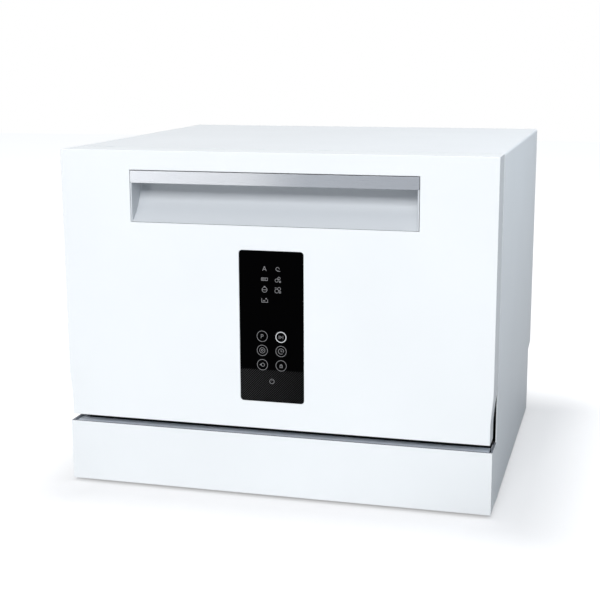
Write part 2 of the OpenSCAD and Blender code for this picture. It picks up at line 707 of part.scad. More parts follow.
module door_liner() color("silver") difference() {
    wide_x = half_w - door_t - seat;
    slot_z = hinge_z + hinge_slot_h - 25;
    top = body_h - door_t - seat;
    rim_z = hinge_z + mouth_low;
    raised = round_rect(-tub_hw + liner_side, hinge_z + liner_low, tub_hw - liner_side,
        tub_top_z - 6, liner_r + 1);
    hollow = round_rect(-tub_hw + liner_side + liner_t, hinge_z + liner_low + liner_t,
        tub_hw - liner_side - liner_t, tub_top_z - 6 - liner_t, liner_r);
    union() {
        along_y(rim_y - liner_t, rim_y) polygon([
            [liner_low_hw, rim_z], [liner_low_hw, slot_z], [wide_x, slot_z], [wide_x, top],
            [-wide_x, top], [-wide_x, slot_z], [-liner_low_hw, slot_z], [-liner_low_hw, rim_z]]);
        along_y(rim_y - liner_t, liner_y) polygon(raised);
        // Apron that closes the door's lower rear
        along_x(-liner_low_hw, liner_low_hw) polygon([
            [rim_y, rim_z + 1], [rim_y, rim_z], [hinge_y + 4, hinge_z - 14.5],
            [hinge_y, door_z + door_t + seat], [hinge_y - liner_t, door_z + door_t + seat],
            [hinge_y + 3, hinge_z - 14], [rim_y - liner_t, rim_z + 0.6], [rim_y - liner_t, rim_z + 1]]);
    }
    along_y(rim_y - liner_t - cut, liner_y - liner_t) polygon(hollow);
    block([-disp_hw + 7 - seat, disp_hw - 7 + seat], [liner_y - liner_t - cut, liner_y + cut],
        [disp_z0 + 6 - seat, disp_z1 - 6 + seat]);
}

liner_screw_zs = [for (i = [0:2]) let (z0 = hinge_z + hinge_slot_h + 24, z1 = body_h - 23.5)
    z0 + (z1 - z0) * i / 2];

module liner_screws() color("silver") for (s = [-1, 1], z = liner_screw_zs)
    rod_y(rim_y, rim_y + 1.2, s * (half_w - 15), z, 3.2);

module door_insulation() color("gray") difference() {
    hw = tub_hw - liner_side - 8;
    block([-hw, hw], [liner_y - liner_t - 6, liner_y - liner_t - seat],
        [hinge_z + liner_low + 5, tub_top_z - 12]);
    block([-disp_hw + 5, disp_hw - 5], [rim_y - cut, liner_y], [disp_z0 + 4, disp_z1 - 4]);
}

module door_striker() color("silver") union() {
    z = latch_z + 1;
    block([-11, 11], [rim_y, rim_y + 1.2], [tub_top_z + gasket_w + 1 + 2 * move, latch_z + 6]);
    block([-9, 9], [rim_y + lap, tub_y + 18], [z, z + 2]);
}

// ---------------------------------------------------------------- dispenser

module dispenser() color("lightgray") difference() {
    union() {
        block([-disp_hw, disp_hw], [liner_y, disp_y], [disp_z0, disp_z1]);
        block([-disp_hw + 7, disp_hw - 7], [liner_y - 24, liner_y + lap], [disp_z0 + 6, disp_z1 - 6]);
        // Guides that hold the sliding lid at its two long edges
        for (z = [[lid_z0 - 4, lid_z0 - move], [lid_z1 + move, lid_z1 + 4]])
            block([lid_x0 - 3, lid_x1 + lid_travel + 4], [disp_y - lap, disp_y + 4.2], z);
        for (z = [[lid_z0 - 4, lid_z0 + 2], [lid_z1 - 2, lid_z1 + 4]])
            block([lid_x0 - 3, lid_x1 + lid_travel + 4], [disp_y + 2 * move + lid_t, disp_y + 4.2], z);
    }
    block([lid_x0 + 5, lid_x1 - 5], [liner_y - 21, disp_y + cut], [lid_z0 + 5, lid_z1 - 5]);
    rod_y(liner_y - 20, disp_y + cut, cap_x, cap_z, cap_plug_r);
}

module dispenser_lid() color("gainsboro") union() {
    y0 = disp_y + move;
    block([lid_x0, lid_x1], [y0, y0 + lid_t], [lid_z0, lid_z1]);
    // Grip ridges
    for (i = [0:3]) block([lid_x0 + 8 + 4 * i, lid_x0 + 10 + 4 * i], [y0 + lid_t - lap, y0 + lid_t + 1.2],
        [lid_z0 + 20, lid_z1 - 20]);
}

module rinse_cap() color("royalblue") union() {
    rod_y(liner_y - 10, disp_y + move + lap, cap_x, cap_z, cap_plug_r - run_gap);
    rod_y(disp_y + move, disp_y + 4, cap_x, cap_z, 14);
    block([cap_x - 11, cap_x + 11], [disp_y + 4 - lap, disp_y + 7.5], [cap_z - 2, cap_z + 2]);
}

// ---------------------------------------------------------------- rack

// One bent wire that runs front to back, with its sloped front
module long_wire(x) along_x(x - wire_t / 2, x + wire_t / 2) polygon([
    [rack_front_y, rack_top_z], [rack_foot_y, rack_z], [rack_rear_y, rack_z], [rack_rear_y, rack_top_z],
    [rack_rear_y - wire_t, rack_top_z], [rack_rear_y - wire_t, rack_z + wire_t],
    [rack_foot_y + 2, rack_z + wire_t], [rack_front_y + wire_t + 0.3, rack_top_z]]);

// One bent wire that runs across
module cross_wire(y) along_y(y, y + wire_t) polygon([
    [-rack_hw, rack_top_z], [-rack_hw, rack_z], [rack_hw, rack_z], [rack_hw, rack_top_z],
    [rack_hw - wire_t, rack_top_z], [rack_hw - wire_t, rack_z + wire_t],
    [-rack_hw + wire_t, rack_z + wire_t], [-rack_hw + wire_t, rack_top_z]]);

long_n = 9;                              // wires front to back
cross_n = 7;                             // wires across

module rack_frame() color("lightgray") union() {
    for (i = [0:long_n - 1])
        long_wire((rack_hw - wire_t / 2 - 4) * (2 * i / (long_n - 1) - 1));
    for (i = [0:cross_n - 1])
        cross_wire(rack_foot_y + 12 + (rack_rear_y - rack_foot_y - 30) * i / (cross_n - 1));
    difference() {
        rim_t = wire_t + 1;
        block([-rack_hw, rack_hw], [rack_front_y, rack_rear_y], [rack_top_z - rim_t, rack_top_z]);
        block([-rack_hw + rim_t, rack_hw - rim_t], [rack_front_y + rim_t, rack_rear_y - rim_t],
            [rack_top_z - rim_t - cut, rack_top_z + cut]);
    }
    // Side wires at half height
    for (s = [-1, 1]) side(s)
        block([rack_hw - wire_t, rack_hw], [rack_foot_y - 18, rack_rear_y], [roller_z - 2, roller_z + 1]);
}

tine_edge = 75;                          // first row of tines from the rack's left side
tine_row = 100;                          // spacing of the rows
tine_h = 56;
tine_xs = [for (i = [0:2]) -rack_hw + tine_edge + tine_row * i];
tine_n = 8;

module plate_tines() color("lightgray") for (x = tine_xs) union() {
    z = rack_z + wire_t;
    y0 = rack_foot_y + 30;
    pitch = (rack_rear_y - 30 - y0) / (tine_n - 1);
    wx = [x - wire_t / 2, x + wire_t / 2];
    block(wx, [y0 - 10, y0 + pitch * (tine_n - 1) + wire_t + 10], [z, z + wire_t]);
    for (i = [0:tine_n - 1]) block(wx, [y0 + pitch * i, y0 + pitch * i + wire_t], [z, z + tine_h]);
}

roller_ys = [roller_front_y, roller_rear_y];

module roller_brackets() color("lightgray") for (s = [-1, 1], y = roller_ys) side(s) {
    block([rack_hw, roller_x - 3], [y - 13, y + 13], [roller_z - 16, roller_z + 14]);
    rod_x(rack_hw + lap, roller_x + roller_w + move + 0.8, y, roller_z, axle_r);
    rod_x(roller_x + roller_w + move, roller_x + roller_w + move + 0.8, y, roller_z, axle_r + 1.5);
}

module roller(s, y) color("gainsboro") side(s) difference() {
    rod_x(roller_x, roller_x + roller_w, y, roller_z, roller_r);
    rod_x(roller_x - cut, roller_x + roller_w + cut, y, roller_z, axle_r + run_gap);
}
module roller_front_left() roller(-1, roller_front_y);
module roller_front_right() roller(1, roller_front_y);
module roller_rear_left() roller(-1, roller_rear_y);
module roller_rear_right() roller(1, roller_rear_y);

cutlery_x1 = rack_hw - wire_t - 4;
cutlery_y0 = rack_foot_y + 16;

module cutlery_basket() color("gray") {
    x0 = cutlery_x1 - cutlery_w;
    y1 = cutlery_y0 + cutlery_l;
    z0 = rack_z + wire_t + move;
    t = 2.5;
    cell = (cutlery_l - t) / 4;
    difference() {
        block([x0, cutlery_x1], [cutlery_y0, y1], [z0, z0 + cutlery_h]);
        for (i = [0:3], j = [0, 1]) let (w = (cutlery_w - 3 * t) / 2)
            block([x0 + t + j * (w + t), x0 + t + j * (w + t) + w],
                [cutlery_y0 + t + cell * i, cutlery_y0 + cell * (i + 1)], [z0 + t, z0 + cutlery_h + cut]);
        // Slots in the long walls
        for (i = [0:3], k = [0:2])
            let (y = cutlery_y0 + cell * i + 12 + 14 * k)
                block([x0 - cut, cutlery_x1 + cut], [y, y + 6], [z0 + 14, z0 + 64]);
    }
    // Handle over the middle
    difference() {
        y = cutlery_y0 + cutlery_l / 2;
        x = x0 + cutlery_w / 2;
        block([x - 3, x + 3], [y - 40, y + 40], [z0 + cutlery_h - 12, z0 + cutlery_h + 17]);
        block([x0, cutlery_x1], [y - 34, y + 34], [z0 + cutlery_h - 13, z0 + cutlery_h + 11]);
    }
}

// ---------------------------------------------------------------- wash system

module sump() color("dimgray") difference() {
    under = tub_z - tub_t;
    union() {
        rod_z(bowl_z, under, 0, bowl_y, bowl_r + bowl_wall);
        rod_z(under - 3, under, 0, bowl_y, bowl_r + 13);
        rod_z(foot_h + 33, bowl_z + lap, 0, filter_y, cup_r);
    }
    rod_z(bowl_z + bowl_wall, under + cut, 0, bowl_y, bowl_r);
    rod_z(foot_h + 36, bowl_z + 2 * bowl_wall, 0, filter_y, cup_r - bowl_wall);
    rod_z(bowl_z - cut, bowl_z + 2 * bowl_wall, 0, 0, 13 + seat);
    rod_x(-cup_r - cut, 0, filter_y, pipe_z, 16 + seat);
    rod_x(0, cup_r + cut, filter_y, drain_z, 11 + seat);
}

module flat_filter() color("silver") difference() {
    rod_z(tub_z, tub_z + 1.5, 0, bowl_y, bowl_r + 7);
    rod_z(tub_z - cut, tub_z + 3, 0, 0, 13 + seat);
    rod_z(tub_z - cut, tub_z + 3, 0, filter_y, filter_r + 1.5);
}

module filter_cup() color("lightgray") difference() {
    top = tub_z + 1.5 + move;
    union() {
        rod_z(bowl_z + 14, top + lap, 0, filter_y, filter_r);
        rod_z(top, top + 2.2, 0, filter_y, filter_r + 7);
        block([-filter_r + 2, filter_r - 2], [filter_y - 4, filter_y + 4], [top + 1, top + 9]);
    }
    difference() {
        rod_z(bowl_z + 16.5, top + 2.2 + cut, 0, filter_y, filter_r - 2.5);
        block([-filter_r, filter_r], [filter_y - 4, filter_y + 4], [top, top + 10]);
    }
}

module spray_support() color("gray") difference() {
    union() {
        rod_z(pipe_z - 12, arm_z - 2, 0, 0, 13);
        rod_z(arm_z - 2 - lap, arm_z + arm_t_spray + 3, 0, 0, pivot_r);
        rod_z(arm_z + arm_t_spray + move, arm_z + arm_t_spray + 3, 0, 0, pivot_r + 4);
        rod_y(0, 25, 0, pipe_z, 10);
    }
    rod_z(pipe_z - 7, arm_z + 2, 0, 0, pivot_r - 3);
    rod_y(0, 25 + cut, 0, pipe_z, 7);
}

module spray_arm() color("gainsboro") difference() {
    union() {
        // Two blades that narrow to round tips
        translate([0, 0, arm_z + 2]) linear_extrude(arm_t_spray - 4) polygon(concat(
            arc(arm_l - 14, 0, 14, -80, 80, 8), arc(0, 0, arm_w / 2, 60, 120, 4),
            arc(14 - arm_l, 0, 14, 100, 260, 8), arc(0, 0, arm_w / 2, 240, 300, 4)));
        rod_z(arm_z, arm_z + arm_t_spray, 0, 0, pivot_r + 7);
    }
    rod_z(arm_z - cut, arm_z + arm_t_spray + cut, 0, 0, pivot_r + run_gap);
    // Nozzles, at a different reach on each blade
    for (i = [0:4], s = [-1, 1])
        rod_z(arm_z + arm_t_spray - 5, arm_z + arm_t_spray, s * (40 + 26 * i) + 8, 3 * s, 1.5);
}

module circulation_pump() color("dimgray") union() {
    pump_l = [80, 28];                   // motor and volute
    rod_x(pump_x, pump_x + pump_l[1], filter_y, pipe_z, 40);
    rod_x(pump_x - pump_l[0], pump_x + lap, filter_y, pipe_z, 35);
    rod_x(pump_x + pump_l[1] - lap, 3.5 - cup_r, filter_y, pipe_z, 16);
    rod_y(filter_y + 30, -30, heater_x, pipe_z, 12);
    block([pump_x - 65, pump_x - 15], [filter_y - 15, filter_y + 15], [floor_z, pipe_z - 28]);
}

module flow_heater() color("silver") union() {
    rod_y(-30, 60, heater_x, pipe_z, 22);
    rod_y(60 - lap, 68, heater_x, pipe_z, 10);
    block([heater_x - 10, heater_x + 10], [5, 25], [floor_z, pipe_z - 18]);
}

module riser_hose() color("black") union() {
    rb = 20;
    bend(heater_x + rb, 68, pipe_z, rb, 9.5, 90);
    rod_x(heater_x + rb, -rb, 68 + rb, pipe_z, 9.5);
    bend(-rb, 68, pipe_z, rb, 9.5, 0);
    rod_y(25, 68, 0, pipe_z, 9.5);
}

drain_hose_y = filter_y + 35;            // where the drain hose meets its pump

module drain_pump() color("dimgray") union() {
    z = drain_z;
    x = [drain_x - drain_pump_l / 2, drain_x + drain_pump_l / 2];
    rod_x(cup_r - 3.5, x[0] + 5, filter_y, z, 11);
    rod_x(x[0], x[1], filter_y, z, bowl_z - drain_z - 1);
    rod_y(filter_y + 18, drain_hose_y, drain_x, z, drain_r);
    block([x[0] + 15, x[1] - 10], [filter_y - 14, filter_y + 14], [floor_z, z - 18]);
}

module drain_hose() color("black") rod_y(drain_hose_y, tray_in_y - 4, drain_x, drain_z, drain_r);

// ---------------------------------------------------------------- ports at the set-in rear

module drain_port() color("dimgray") difference() {
    union() {
        rod_y(tray_in_y - 4, tray_in_y, drain_x, drain_z, drain_r + 6);
        rod_y(tray_in_y - lap, port_y, drain_x, drain_z, drain_r + collar);
        rod_y(port_y - lap, port_y + drain_l, drain_x, drain_z, drain_r);
    }
    rod_y(tray_in_y - 2, port_y + drain_l + cut, drain_x, drain_z, drain_r - 2.5);
}

module inlet_valve() color("whitesmoke") difference() {
    union() {
        block([inlet_x - 15, inlet_x + 15], [tray_in_y - 44, tray_in_y - 4 + lap], [port_z - 18, port_z + 18]);
        rod_y(tray_in_y - 4, tray_in_y, inlet_x, port_z, inlet_r + 5);
        rod_y(tray_in_y - lap, port_y, inlet_x, port_z, inlet_r + collar);
        rod_y(port_y - lap, port_y + inlet_l, inlet_x, port_z, inlet_r);
        rod_z(port_z + 18 - lap, port_z + 42, inlet_x, valve_y, 12);
        rod_x(inlet_x + 15 - lap, inlet_x + 25, valve_y, port_z, 8);
    }
    rod_y(tray_rear_y, port_y + inlet_l + cut, inlet_x, port_z, inlet_r - 4);
}

module fill_hose() color("black") union() {
    rb = 18;
    rod_x(inlet_x + 25, air_x - rb, valve_y, port_z, 6);
    translate([air_x - rb, valve_y, port_z + rb]) rotate([90, 0, 0]) rotate([0, 0, 270])
        rotate_extrude(angle = 90) translate([rb, 0]) circle(6);
    rod_z(port_z + rb, air_z, air_x, valve_y, 6);
}

module cord_gland() color("black") difference() {
    union() {
        rod_y(tray_rear_y, tray_rear_y + 8, gland_x, port_z, cord_r + 7, $fn = 6);
        rod_y(tray_in_y - 5, tray_rear_y + lap, gland_x, port_z, cord_r + 4);
        rod_y(tray_in_y - 5, tray_in_y, gland_x, port_z, cord_r + 7, $fn = 6);
    }
    rod_y(tray_in_y - 5 - cut, tray_rear_y + 8 + cut, gland_x, port_z, cord_r);
}

// ---------------------------------------------------------------- water and control

air_break_l = 182;
air_break_h = tub_top_z - air_z - 30;    // ends under the tub's rounded top edge

module air_break() color("whitesmoke")
    block([air_x0, air_x1], [valve_y + 12 - air_break_l, valve_y + 12], [air_z, air_z + air_break_h]);

module water_softener() color("whitesmoke") difference() {
    x = [drain_x + 30, salt_x + salt_cap_r];
    y = [salt_y - 65, salt_y + 50];
    z = [floor_z, tub_z - 24];
    neck_z = tub_z + 6;
    union() {
        round_block(x, y, z, 12);
        rod_z(z[1] - lap, neck_z, salt_x, salt_y, salt_r);
    }
    round_block([x[0] + 3, x[1] - 3], [y[0] + 3, y[1] - 3], [z[0] + 3, z[1] - 3], 9);
    rod_z(z[1] - 4, neck_z + cut, salt_x, salt_y, salt_r - 4);
}

module salt_cap() color("gray") union() {
    z = tub_z + 6 + move;
    rod_z(z - 16, z + lap, salt_x, salt_y, salt_r - 4 - run_gap);
    rod_z(z, z + 8, salt_x, salt_y, salt_cap_r);
    block([salt_x - 20, salt_x + 20], [salt_y - 3, salt_y + 3], [z + 8 - lap, z + 14]);
}

module float_switch() color("dimgray") difference() {
    block([float_x - 13, float_x + 13], [float_y - 15, float_y + 15], [stem_z - 5, tub_z - tub_t]);
    rod_z(stem_z - 2, tub_z, float_x, float_y, 5);
}

module water_float() color("gray") union() {
    rod_z(stem_z, tub_z + move + lap, float_x, float_y, stem_r);
    rod_z(tub_z + move, tub_z + 26, float_x, float_y, 15);
}

module control_box() color("dimgray") union() {
    block([gland_x - 35, gland_x + 35], [tray_in_y - 105, tray_in_y - 25], [floor_z, floor_z + 44]);
    block([gland_x - 37, gland_x + 37], [tray_in_y - 107, tray_in_y - 23], [floor_z + 44 - lap, floor_z + 50]);
}

outer_cabinet();
back_panel();
back_screws();
base_tray();
plinth();
rubber_feet();
tub();
tub_insulation();
door_gasket();
sill_seal();
rack_rail_left();
rack_rail_right();
hinge_bracket_left();
hinge_bracket_right();
hinge_spring_left();
hinge_spring_right();
door_latch();
sump();
flat_filter();
spray_support();
circulation_pump();
flow_heater();
riser_hose();
drain_pump();
drain_hose();
drain_port();
inlet_valve();
fill_hose();
air_break();
water_softener();
float_switch();
control_box();
cord_gland();
door_front();
finger_recess();
steel_strip();
touch_glass();
panel_icons();
display_housing();
door_liner();
liner_screws();
door_insulation();
hinge_arm_left();
hinge_arm_right();
door_striker();
dispenser();
dispenser_lid();
rinse_cap();
rack_frame();
plate_tines();
roller_brackets();
roller_front_left();
roller_front_right();
roller_rear_left();
roller_rear_right();
cutlery_basket();
spray_arm();
filter_cup();
salt_cap();
water_float();
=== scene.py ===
"""Looks of a white countertop dishwasher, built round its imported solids.

Everything is in metres with +Z up. The door faces -Y, and the machine stands on Z = 0.
"""

import json
import logging
import math
from collections.abc import Callable
from dataclasses import dataclass
from enum import Enum

import bmesh
import bpy
from mathutils import Matrix, Vector


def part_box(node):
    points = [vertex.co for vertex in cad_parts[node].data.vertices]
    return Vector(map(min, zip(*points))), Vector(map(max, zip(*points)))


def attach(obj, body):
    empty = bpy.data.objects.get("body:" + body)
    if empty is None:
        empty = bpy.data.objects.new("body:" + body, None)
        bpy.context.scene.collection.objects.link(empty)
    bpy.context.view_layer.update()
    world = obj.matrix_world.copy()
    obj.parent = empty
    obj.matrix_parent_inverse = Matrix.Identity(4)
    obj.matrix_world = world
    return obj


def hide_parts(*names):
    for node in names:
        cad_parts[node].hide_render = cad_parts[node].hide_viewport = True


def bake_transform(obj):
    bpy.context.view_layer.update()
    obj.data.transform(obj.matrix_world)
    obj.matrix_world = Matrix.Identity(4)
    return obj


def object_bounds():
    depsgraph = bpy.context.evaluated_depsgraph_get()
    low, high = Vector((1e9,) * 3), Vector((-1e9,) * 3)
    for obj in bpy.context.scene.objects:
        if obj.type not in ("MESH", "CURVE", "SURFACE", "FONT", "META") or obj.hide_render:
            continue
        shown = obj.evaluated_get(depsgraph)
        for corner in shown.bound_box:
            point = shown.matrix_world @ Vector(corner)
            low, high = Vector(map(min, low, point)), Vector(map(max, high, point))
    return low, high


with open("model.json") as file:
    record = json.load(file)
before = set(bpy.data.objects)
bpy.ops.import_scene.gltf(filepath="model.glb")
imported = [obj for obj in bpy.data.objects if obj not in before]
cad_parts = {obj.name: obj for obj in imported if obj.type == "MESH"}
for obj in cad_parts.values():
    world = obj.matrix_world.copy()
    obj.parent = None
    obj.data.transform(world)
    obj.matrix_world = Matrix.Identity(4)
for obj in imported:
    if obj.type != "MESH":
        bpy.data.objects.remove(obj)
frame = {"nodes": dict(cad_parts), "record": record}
CAD_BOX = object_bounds()
LOG = logging.getLogger("dishwasher")
Colour = tuple[float, float, float]
Point = tuple[float, float, float]
EdgeTest = Callable[[Vector, Vector], bool]
FaceTest = Callable[[list[Vector], Vector], bool]
MM = 0.001
# Height of the hatched part of the glass
HATCH_RISE = 41 * MM


# ------------------------------------------------------------------ shader building blocks

class Shader:
    """A material under construction, with the few node chains that the finishes share."""

    TINT_SPAN: tuple[float, float] = (0.3, 0.7)

    def __init__(self, name: str) -> None:
        """Starts an empty material with a Principled surface.

        Args:
            name: Name of the material.
        """
        self.material = bpy.data.materials.new(name)
        self.material.use_nodes = True
        self.tree = self.material.node_tree
        self.surface = self.tree.nodes["Principled BSDF"]

    def add(self, kind: str, settings: dict[str, object] | None = None,
            **inputs: object) -> bpy.types.Node:
        """Adds a node.

        Args:
            kind: Blender's type name of the node, without its ShaderNode prefix.
            settings: Properties of the node.
            **inputs: Values or sockets, by input name with spaces written as underscores.

        Returns:
            The new node.
        """
        node = self.tree.nodes.new("ShaderNode" + kind)
        for key, value in (settings or {}).items():
            setattr(node, key, value)
        for key, value in inputs.items():
            self.feed(node.inputs[key.replace("_", " ")], value)
        return node

    def feed(self, socket: bpy.types.NodeSocket, value: object) -> None:
        """Links a socket to another one, or sets its value.

        Args:
            socket: The input.
            value: The other socket, or a plain value.
        """
        if isinstance(value, bpy.types.NodeSocket):
            self.tree.links.new(value, socket)
        else:
            socket.default_value = value

    def calc(self, operation: str, first: object, second: object = 0.0) -> bpy.types.NodeSocket:
        """Reckons with one or two numbers.

        Args:
            operation: Blender's name of the operation.
            first: The first value or socket.
            second: The second one, where the operation takes two.

        Returns:
            The result's socket.
        """
        node = self.add("Math", {"operation": operation})
        self.feed(node.inputs[0], first)
        self.feed(node.inputs[1], second)
        return node.outputs[0]

    def reckon(self, operation: str, first: object, second: Point = (0, 0, 0)) -> bpy.types.Node:
        """Reckons with one or two vectors.

        Args:
            operation: Blender's name of the operation.
            first: The first vector's socket.
            second: The second vector, where the operation takes two.

        Returns:
            The node, whose first output is a vector and whose Value is a number.
        """
        node = self.add("VectorMath", {"operation": operation}, Vector=first)
        self.feed(node.inputs[1], second)
        return node

    def remap(self, value: object, start: float, end: float, low: float = 0.0, high: float = 1.0,
              smooth: bool = False) -> bpy.types.NodeSocket:
        """Spreads a value from one range over another.

        Args:
            value: The value's socket.
            start: Where the first range starts.
            end: Where it ends.
            low: The result at the start.
            high: The result at the end.
            smooth: Whether the result sets out and arrives softly.

        Returns:
            The result's socket.
        """
        kind = {"interpolation_type": "SMOOTHSTEP"} if smooth else {}
        return self.add("MapRange", kind, Value=value, From_Min=start, From_Max=end,
                        To_Min=low, To_Max=high).outputs["Result"]

    def mix(self, share: bpy.types.NodeSocket, first: Colour,
            second: Colour) -> bpy.types.NodeSocket:
        """Mixes two colours.

        Args:
            share: The share of the second colour.
            first: The first colour, linear.
            second: The second one.

        Returns:
            The colour's socket.
        """
        node = self.add("Mix", {"data_type": "RGBA"})
        self.feed(node.inputs[0], share)
        self.feed(node.inputs[6], (*first, 1))
        self.feed(node.inputs[7], (*second, 1))
        return node.outputs[2]

    def axes(self) -> bpy.types.NodeOutputs:
        """The object's X, Y and Z coordinates, as sockets by name."""
        return self.add("SeparateXYZ", Vector=self.add("TexCoord").outputs["Object"]).outputs

    def place(self, scale: Point = (1, 1, 1)) -> bpy.types.NodeSocket:
        """Object coordinates, stretched along each axis."""
        coords = self.add("TexCoord").outputs["Object"]
        return self.add("Mapping", Vector=coords, Scale=scale).outputs["Vector"]

    def noise(self, scale: float, vector: bpy.types.NodeSocket,
              detail: float = 3.0) -> bpy.types.NodeSocket:
        """Value of a noise of that many cells a metre."""
        return self.add("TexNoise", Vector=vector, Scale=scale, Detail=detail).outputs["Fac"]

    def between(self, value: bpy.types.NodeSocket, low: float,
                high: float) -> bpy.types.NodeSocket:
        """A value from 0 to 1, spread from low to high."""
        return self.remap(value, 0.0, 1.0, low, high)

    def around(self, value: bpy.types.NodeSocket, middle: float,
               swing: tuple[float, float]) -> bpy.types.NodeSocket:
        """A value from 0 to 1, spread round a middle by a lower and an upper swing."""
        return self.between(value, middle + swing[0], middle + swing[1])

    def tint(self, value: bpy.types.NodeSocket, colour: Colour,
             spread: float) -> bpy.types.NodeSocket:
        """A colour that varies with a value.

        Args:
            value: What it varies with, from 0 to 1.
            colour: The middle colour, linear.
            spread: How much darker and lighter the ends are, as a share.

        Returns:
            The colour's socket.
        """
        ramp = self.add("ValToRGB", Fac=value)
        low, high = ramp.color_ramp.elements
        low.position, high.position = self.TINT_SPAN
        low.color = (*(c * (1 - spread) for c in colour), 1)
        high.color = (*(min(1.0, c * (1 + spread)) for c in colour), 1)
        return ramp.outputs["Color"]

    def relief(self, height: bpy.types.NodeSocket, strength: float, depth: float) -> None:
        """Bumps the surface by a height, whose full swing is depth metres."""
        bump = self.add("Bump", Height=height, Strength=strength, Distance=depth)
        self.feed(self.surface.inputs["Normal"], bump.outputs["Normal"])

    def set(self, **inputs: object) -> None:
        """Sets or links inputs of the surface by name."""
        for key, value in inputs.items():
            self.feed(self.surface.inputs[key.replace("_", " ")], value)


# ------------------------------------------------------------------ finishes

@dataclass(frozen=True)
class SmoothShell:
    """Satin paint on sheet, or a smooth moulded shell, with a faint orange peel."""

    name: str
    colour: Colour
    roughness: float = 0.38
    peel: float = 0.05
    gloss: float = 0.5
    cloud: float = 0.012
    cloud_scale: float = 7.0
    swing: tuple[float, float] = (-0.03, 0.04)
    sheen_scale: float = 45.0
    peel_scale: float = 1100.0
    peel_depth: float = 0.2 * MM

    def build(self) -> bpy.types.Material:
        """Makes the finish.

        Returns:
            The material.
        """
        s = Shader(self.name)
        at = s.place()
        cloud = s.noise(self.cloud_scale, at, 2)
        s.set(Base_Color=s.tint(cloud, self.colour, self.cloud), Specular_IOR_Level=self.gloss,
              Roughness=s.around(s.noise(self.sheen_scale, at), self.roughness, self.swing))
        s.relief(s.noise(self.peel_scale, at, 2), self.peel, self.peel_depth)
        return s.material


@dataclass(frozen=True)
class MouldedPlastic:
    """Plastic with the fine spark-eroded grain of its mould."""

    name: str
    colour: Colour
    roughness: float = 0.5
    grain: float = 0.25
    cloud: float = 0.05
    cloud_scale: float = 18.0
    swing: tuple[float, float] = (-0.06, 0.08)
    sheen_scale: float = 160.0
    grain_scale: float = 2600.0
    grain_depth: float = 0.3 * MM

    def build(self) -> bpy.types.Material:
        """Makes the finish.

        Returns:
            The material.
        """
        s = Shader(self.name)
        at = s.place()
        s.set(Base_Color=s.tint(s.noise(self.cloud_scale, at), self.colour, self.cloud),
              Roughness=s.around(s.noise(self.sheen_scale, at), self.roughness, self.swing))
        s.relief(s.noise(self.grain_scale, at, 4), self.grain, self.grain_depth)
        return s.material


class Brushing(Enum):
    """Direction of a metal's brushing, as the stretch of its scratches along each axis."""

    ACROSS = (0.01, 1.0, 1.0)
    DEPTHWISE = (1.0, 0.01, 1.0)


@dataclass(frozen=True)
class BrushedSteel:
    """Stainless sheet with fine scratches in one direction."""

    name: str
    brushing: Brushing = Brushing.ACROSS
    colour: Colour = (0.50, 0.51, 0.53)
    roughness: float = 0.3
    swing: tuple[float, float] = (-0.08, 0.12)
    scratch_scale: float = 2400.0
    scratch: float = 0.12
    scratch_depth: float = 0.2 * MM
    patch: float = 0.02
    patch_scale: float = 4.0

    def build(self) -> bpy.types.Material:
        """Makes the finish.

        Returns:
            The material.
        """
        s = Shader(self.name)
        scratches = s.noise(self.scratch_scale, s.place(self.brushing.value), 3)
        patches = s.noise(self.patch_scale, s.place(), 1)
        s.set(Base_Color=s.tint(patches, self.colour, self.patch), Metallic=1.0,
              Roughness=s.around(scratches, self.roughness, self.swing))
        s.relief(scratches, self.scratch, self.scratch_depth)
        return s.material


@dataclass(frozen=True)
class PaintedReflectionSteel:
    """Fine brushed strip with a painted reflection: its colour falls from light at the left end
    to darker towards the right.
    """

    name: str
    # The painted reflection: the light colour at the start, the dark one at the end
    near: Colour = (0.420, 0.433, 0.455)
    far: Colour = (0.279, 0.296, 0.324)
    start: float = -48 * MM
    end: float = 54 * MM
    smoothest: float = 0.24
    roughest: float = 0.34
    scratch_scale: float = 3000.0
    scratch: float = 0.06
    scratch_depth: float = 0.2 * MM

    def build(self) -> bpy.types.Material:
        """Makes the finish.

        Returns:
            The material.
        """
        s = Shader(self.name)
        scratches = s.noise(self.scratch_scale, s.place(Brushing.ACROSS.value), 2)
        # Painted reflection: a colour ramp along X stands in for the reflection of a lamp
        painted_reflection = s.remap(s.axes()["X"], self.start, self.end, smooth=True)
        s.set(Base_Color=s.mix(painted_reflection, self.near, self.far), Metallic=1.0,
              Roughness=s.between(scratches, self.smoothest, self.roughest))
        s.relief(scratches, self.scratch, self.scratch_depth)
        return s.material


@dataclass(frozen=True)
class Galvanised:
    """Zinc-coated sheet with its spangle."""

    name: str
    colour: Colour = (0.56, 0.58, 0.60)
    spangle: float = 0.05
    spangle_scale: float = 230.0
    metallic: float = 0.85
    smoothest: float = 0.36
    roughest: float = 0.52
    grain: float = 0.05
    grain_scale: float = 800.0
    grain_depth: float = 0.2 * MM

    def build(self) -> bpy.types.Material:
        """Makes the finish.

        Returns:
            The material.
        """
        s = Shader(self.name)
        at = s.place()
        flakes = s.add("TexVoronoi", Vector=at, Scale=self.spangle_scale).outputs["Color"]
        grey = s.add("RGBToBW", Color=flakes).outputs["Val"]
        s.set(Base_Color=s.tint(grey, self.colour, self.spangle), Metallic=self.metallic,
              Roughness=s.between(grey, self.smoothest, self.roughest))
        s.relief(s.noise(self.grain_scale, at), self.grain, self.grain_depth)
        return s.material


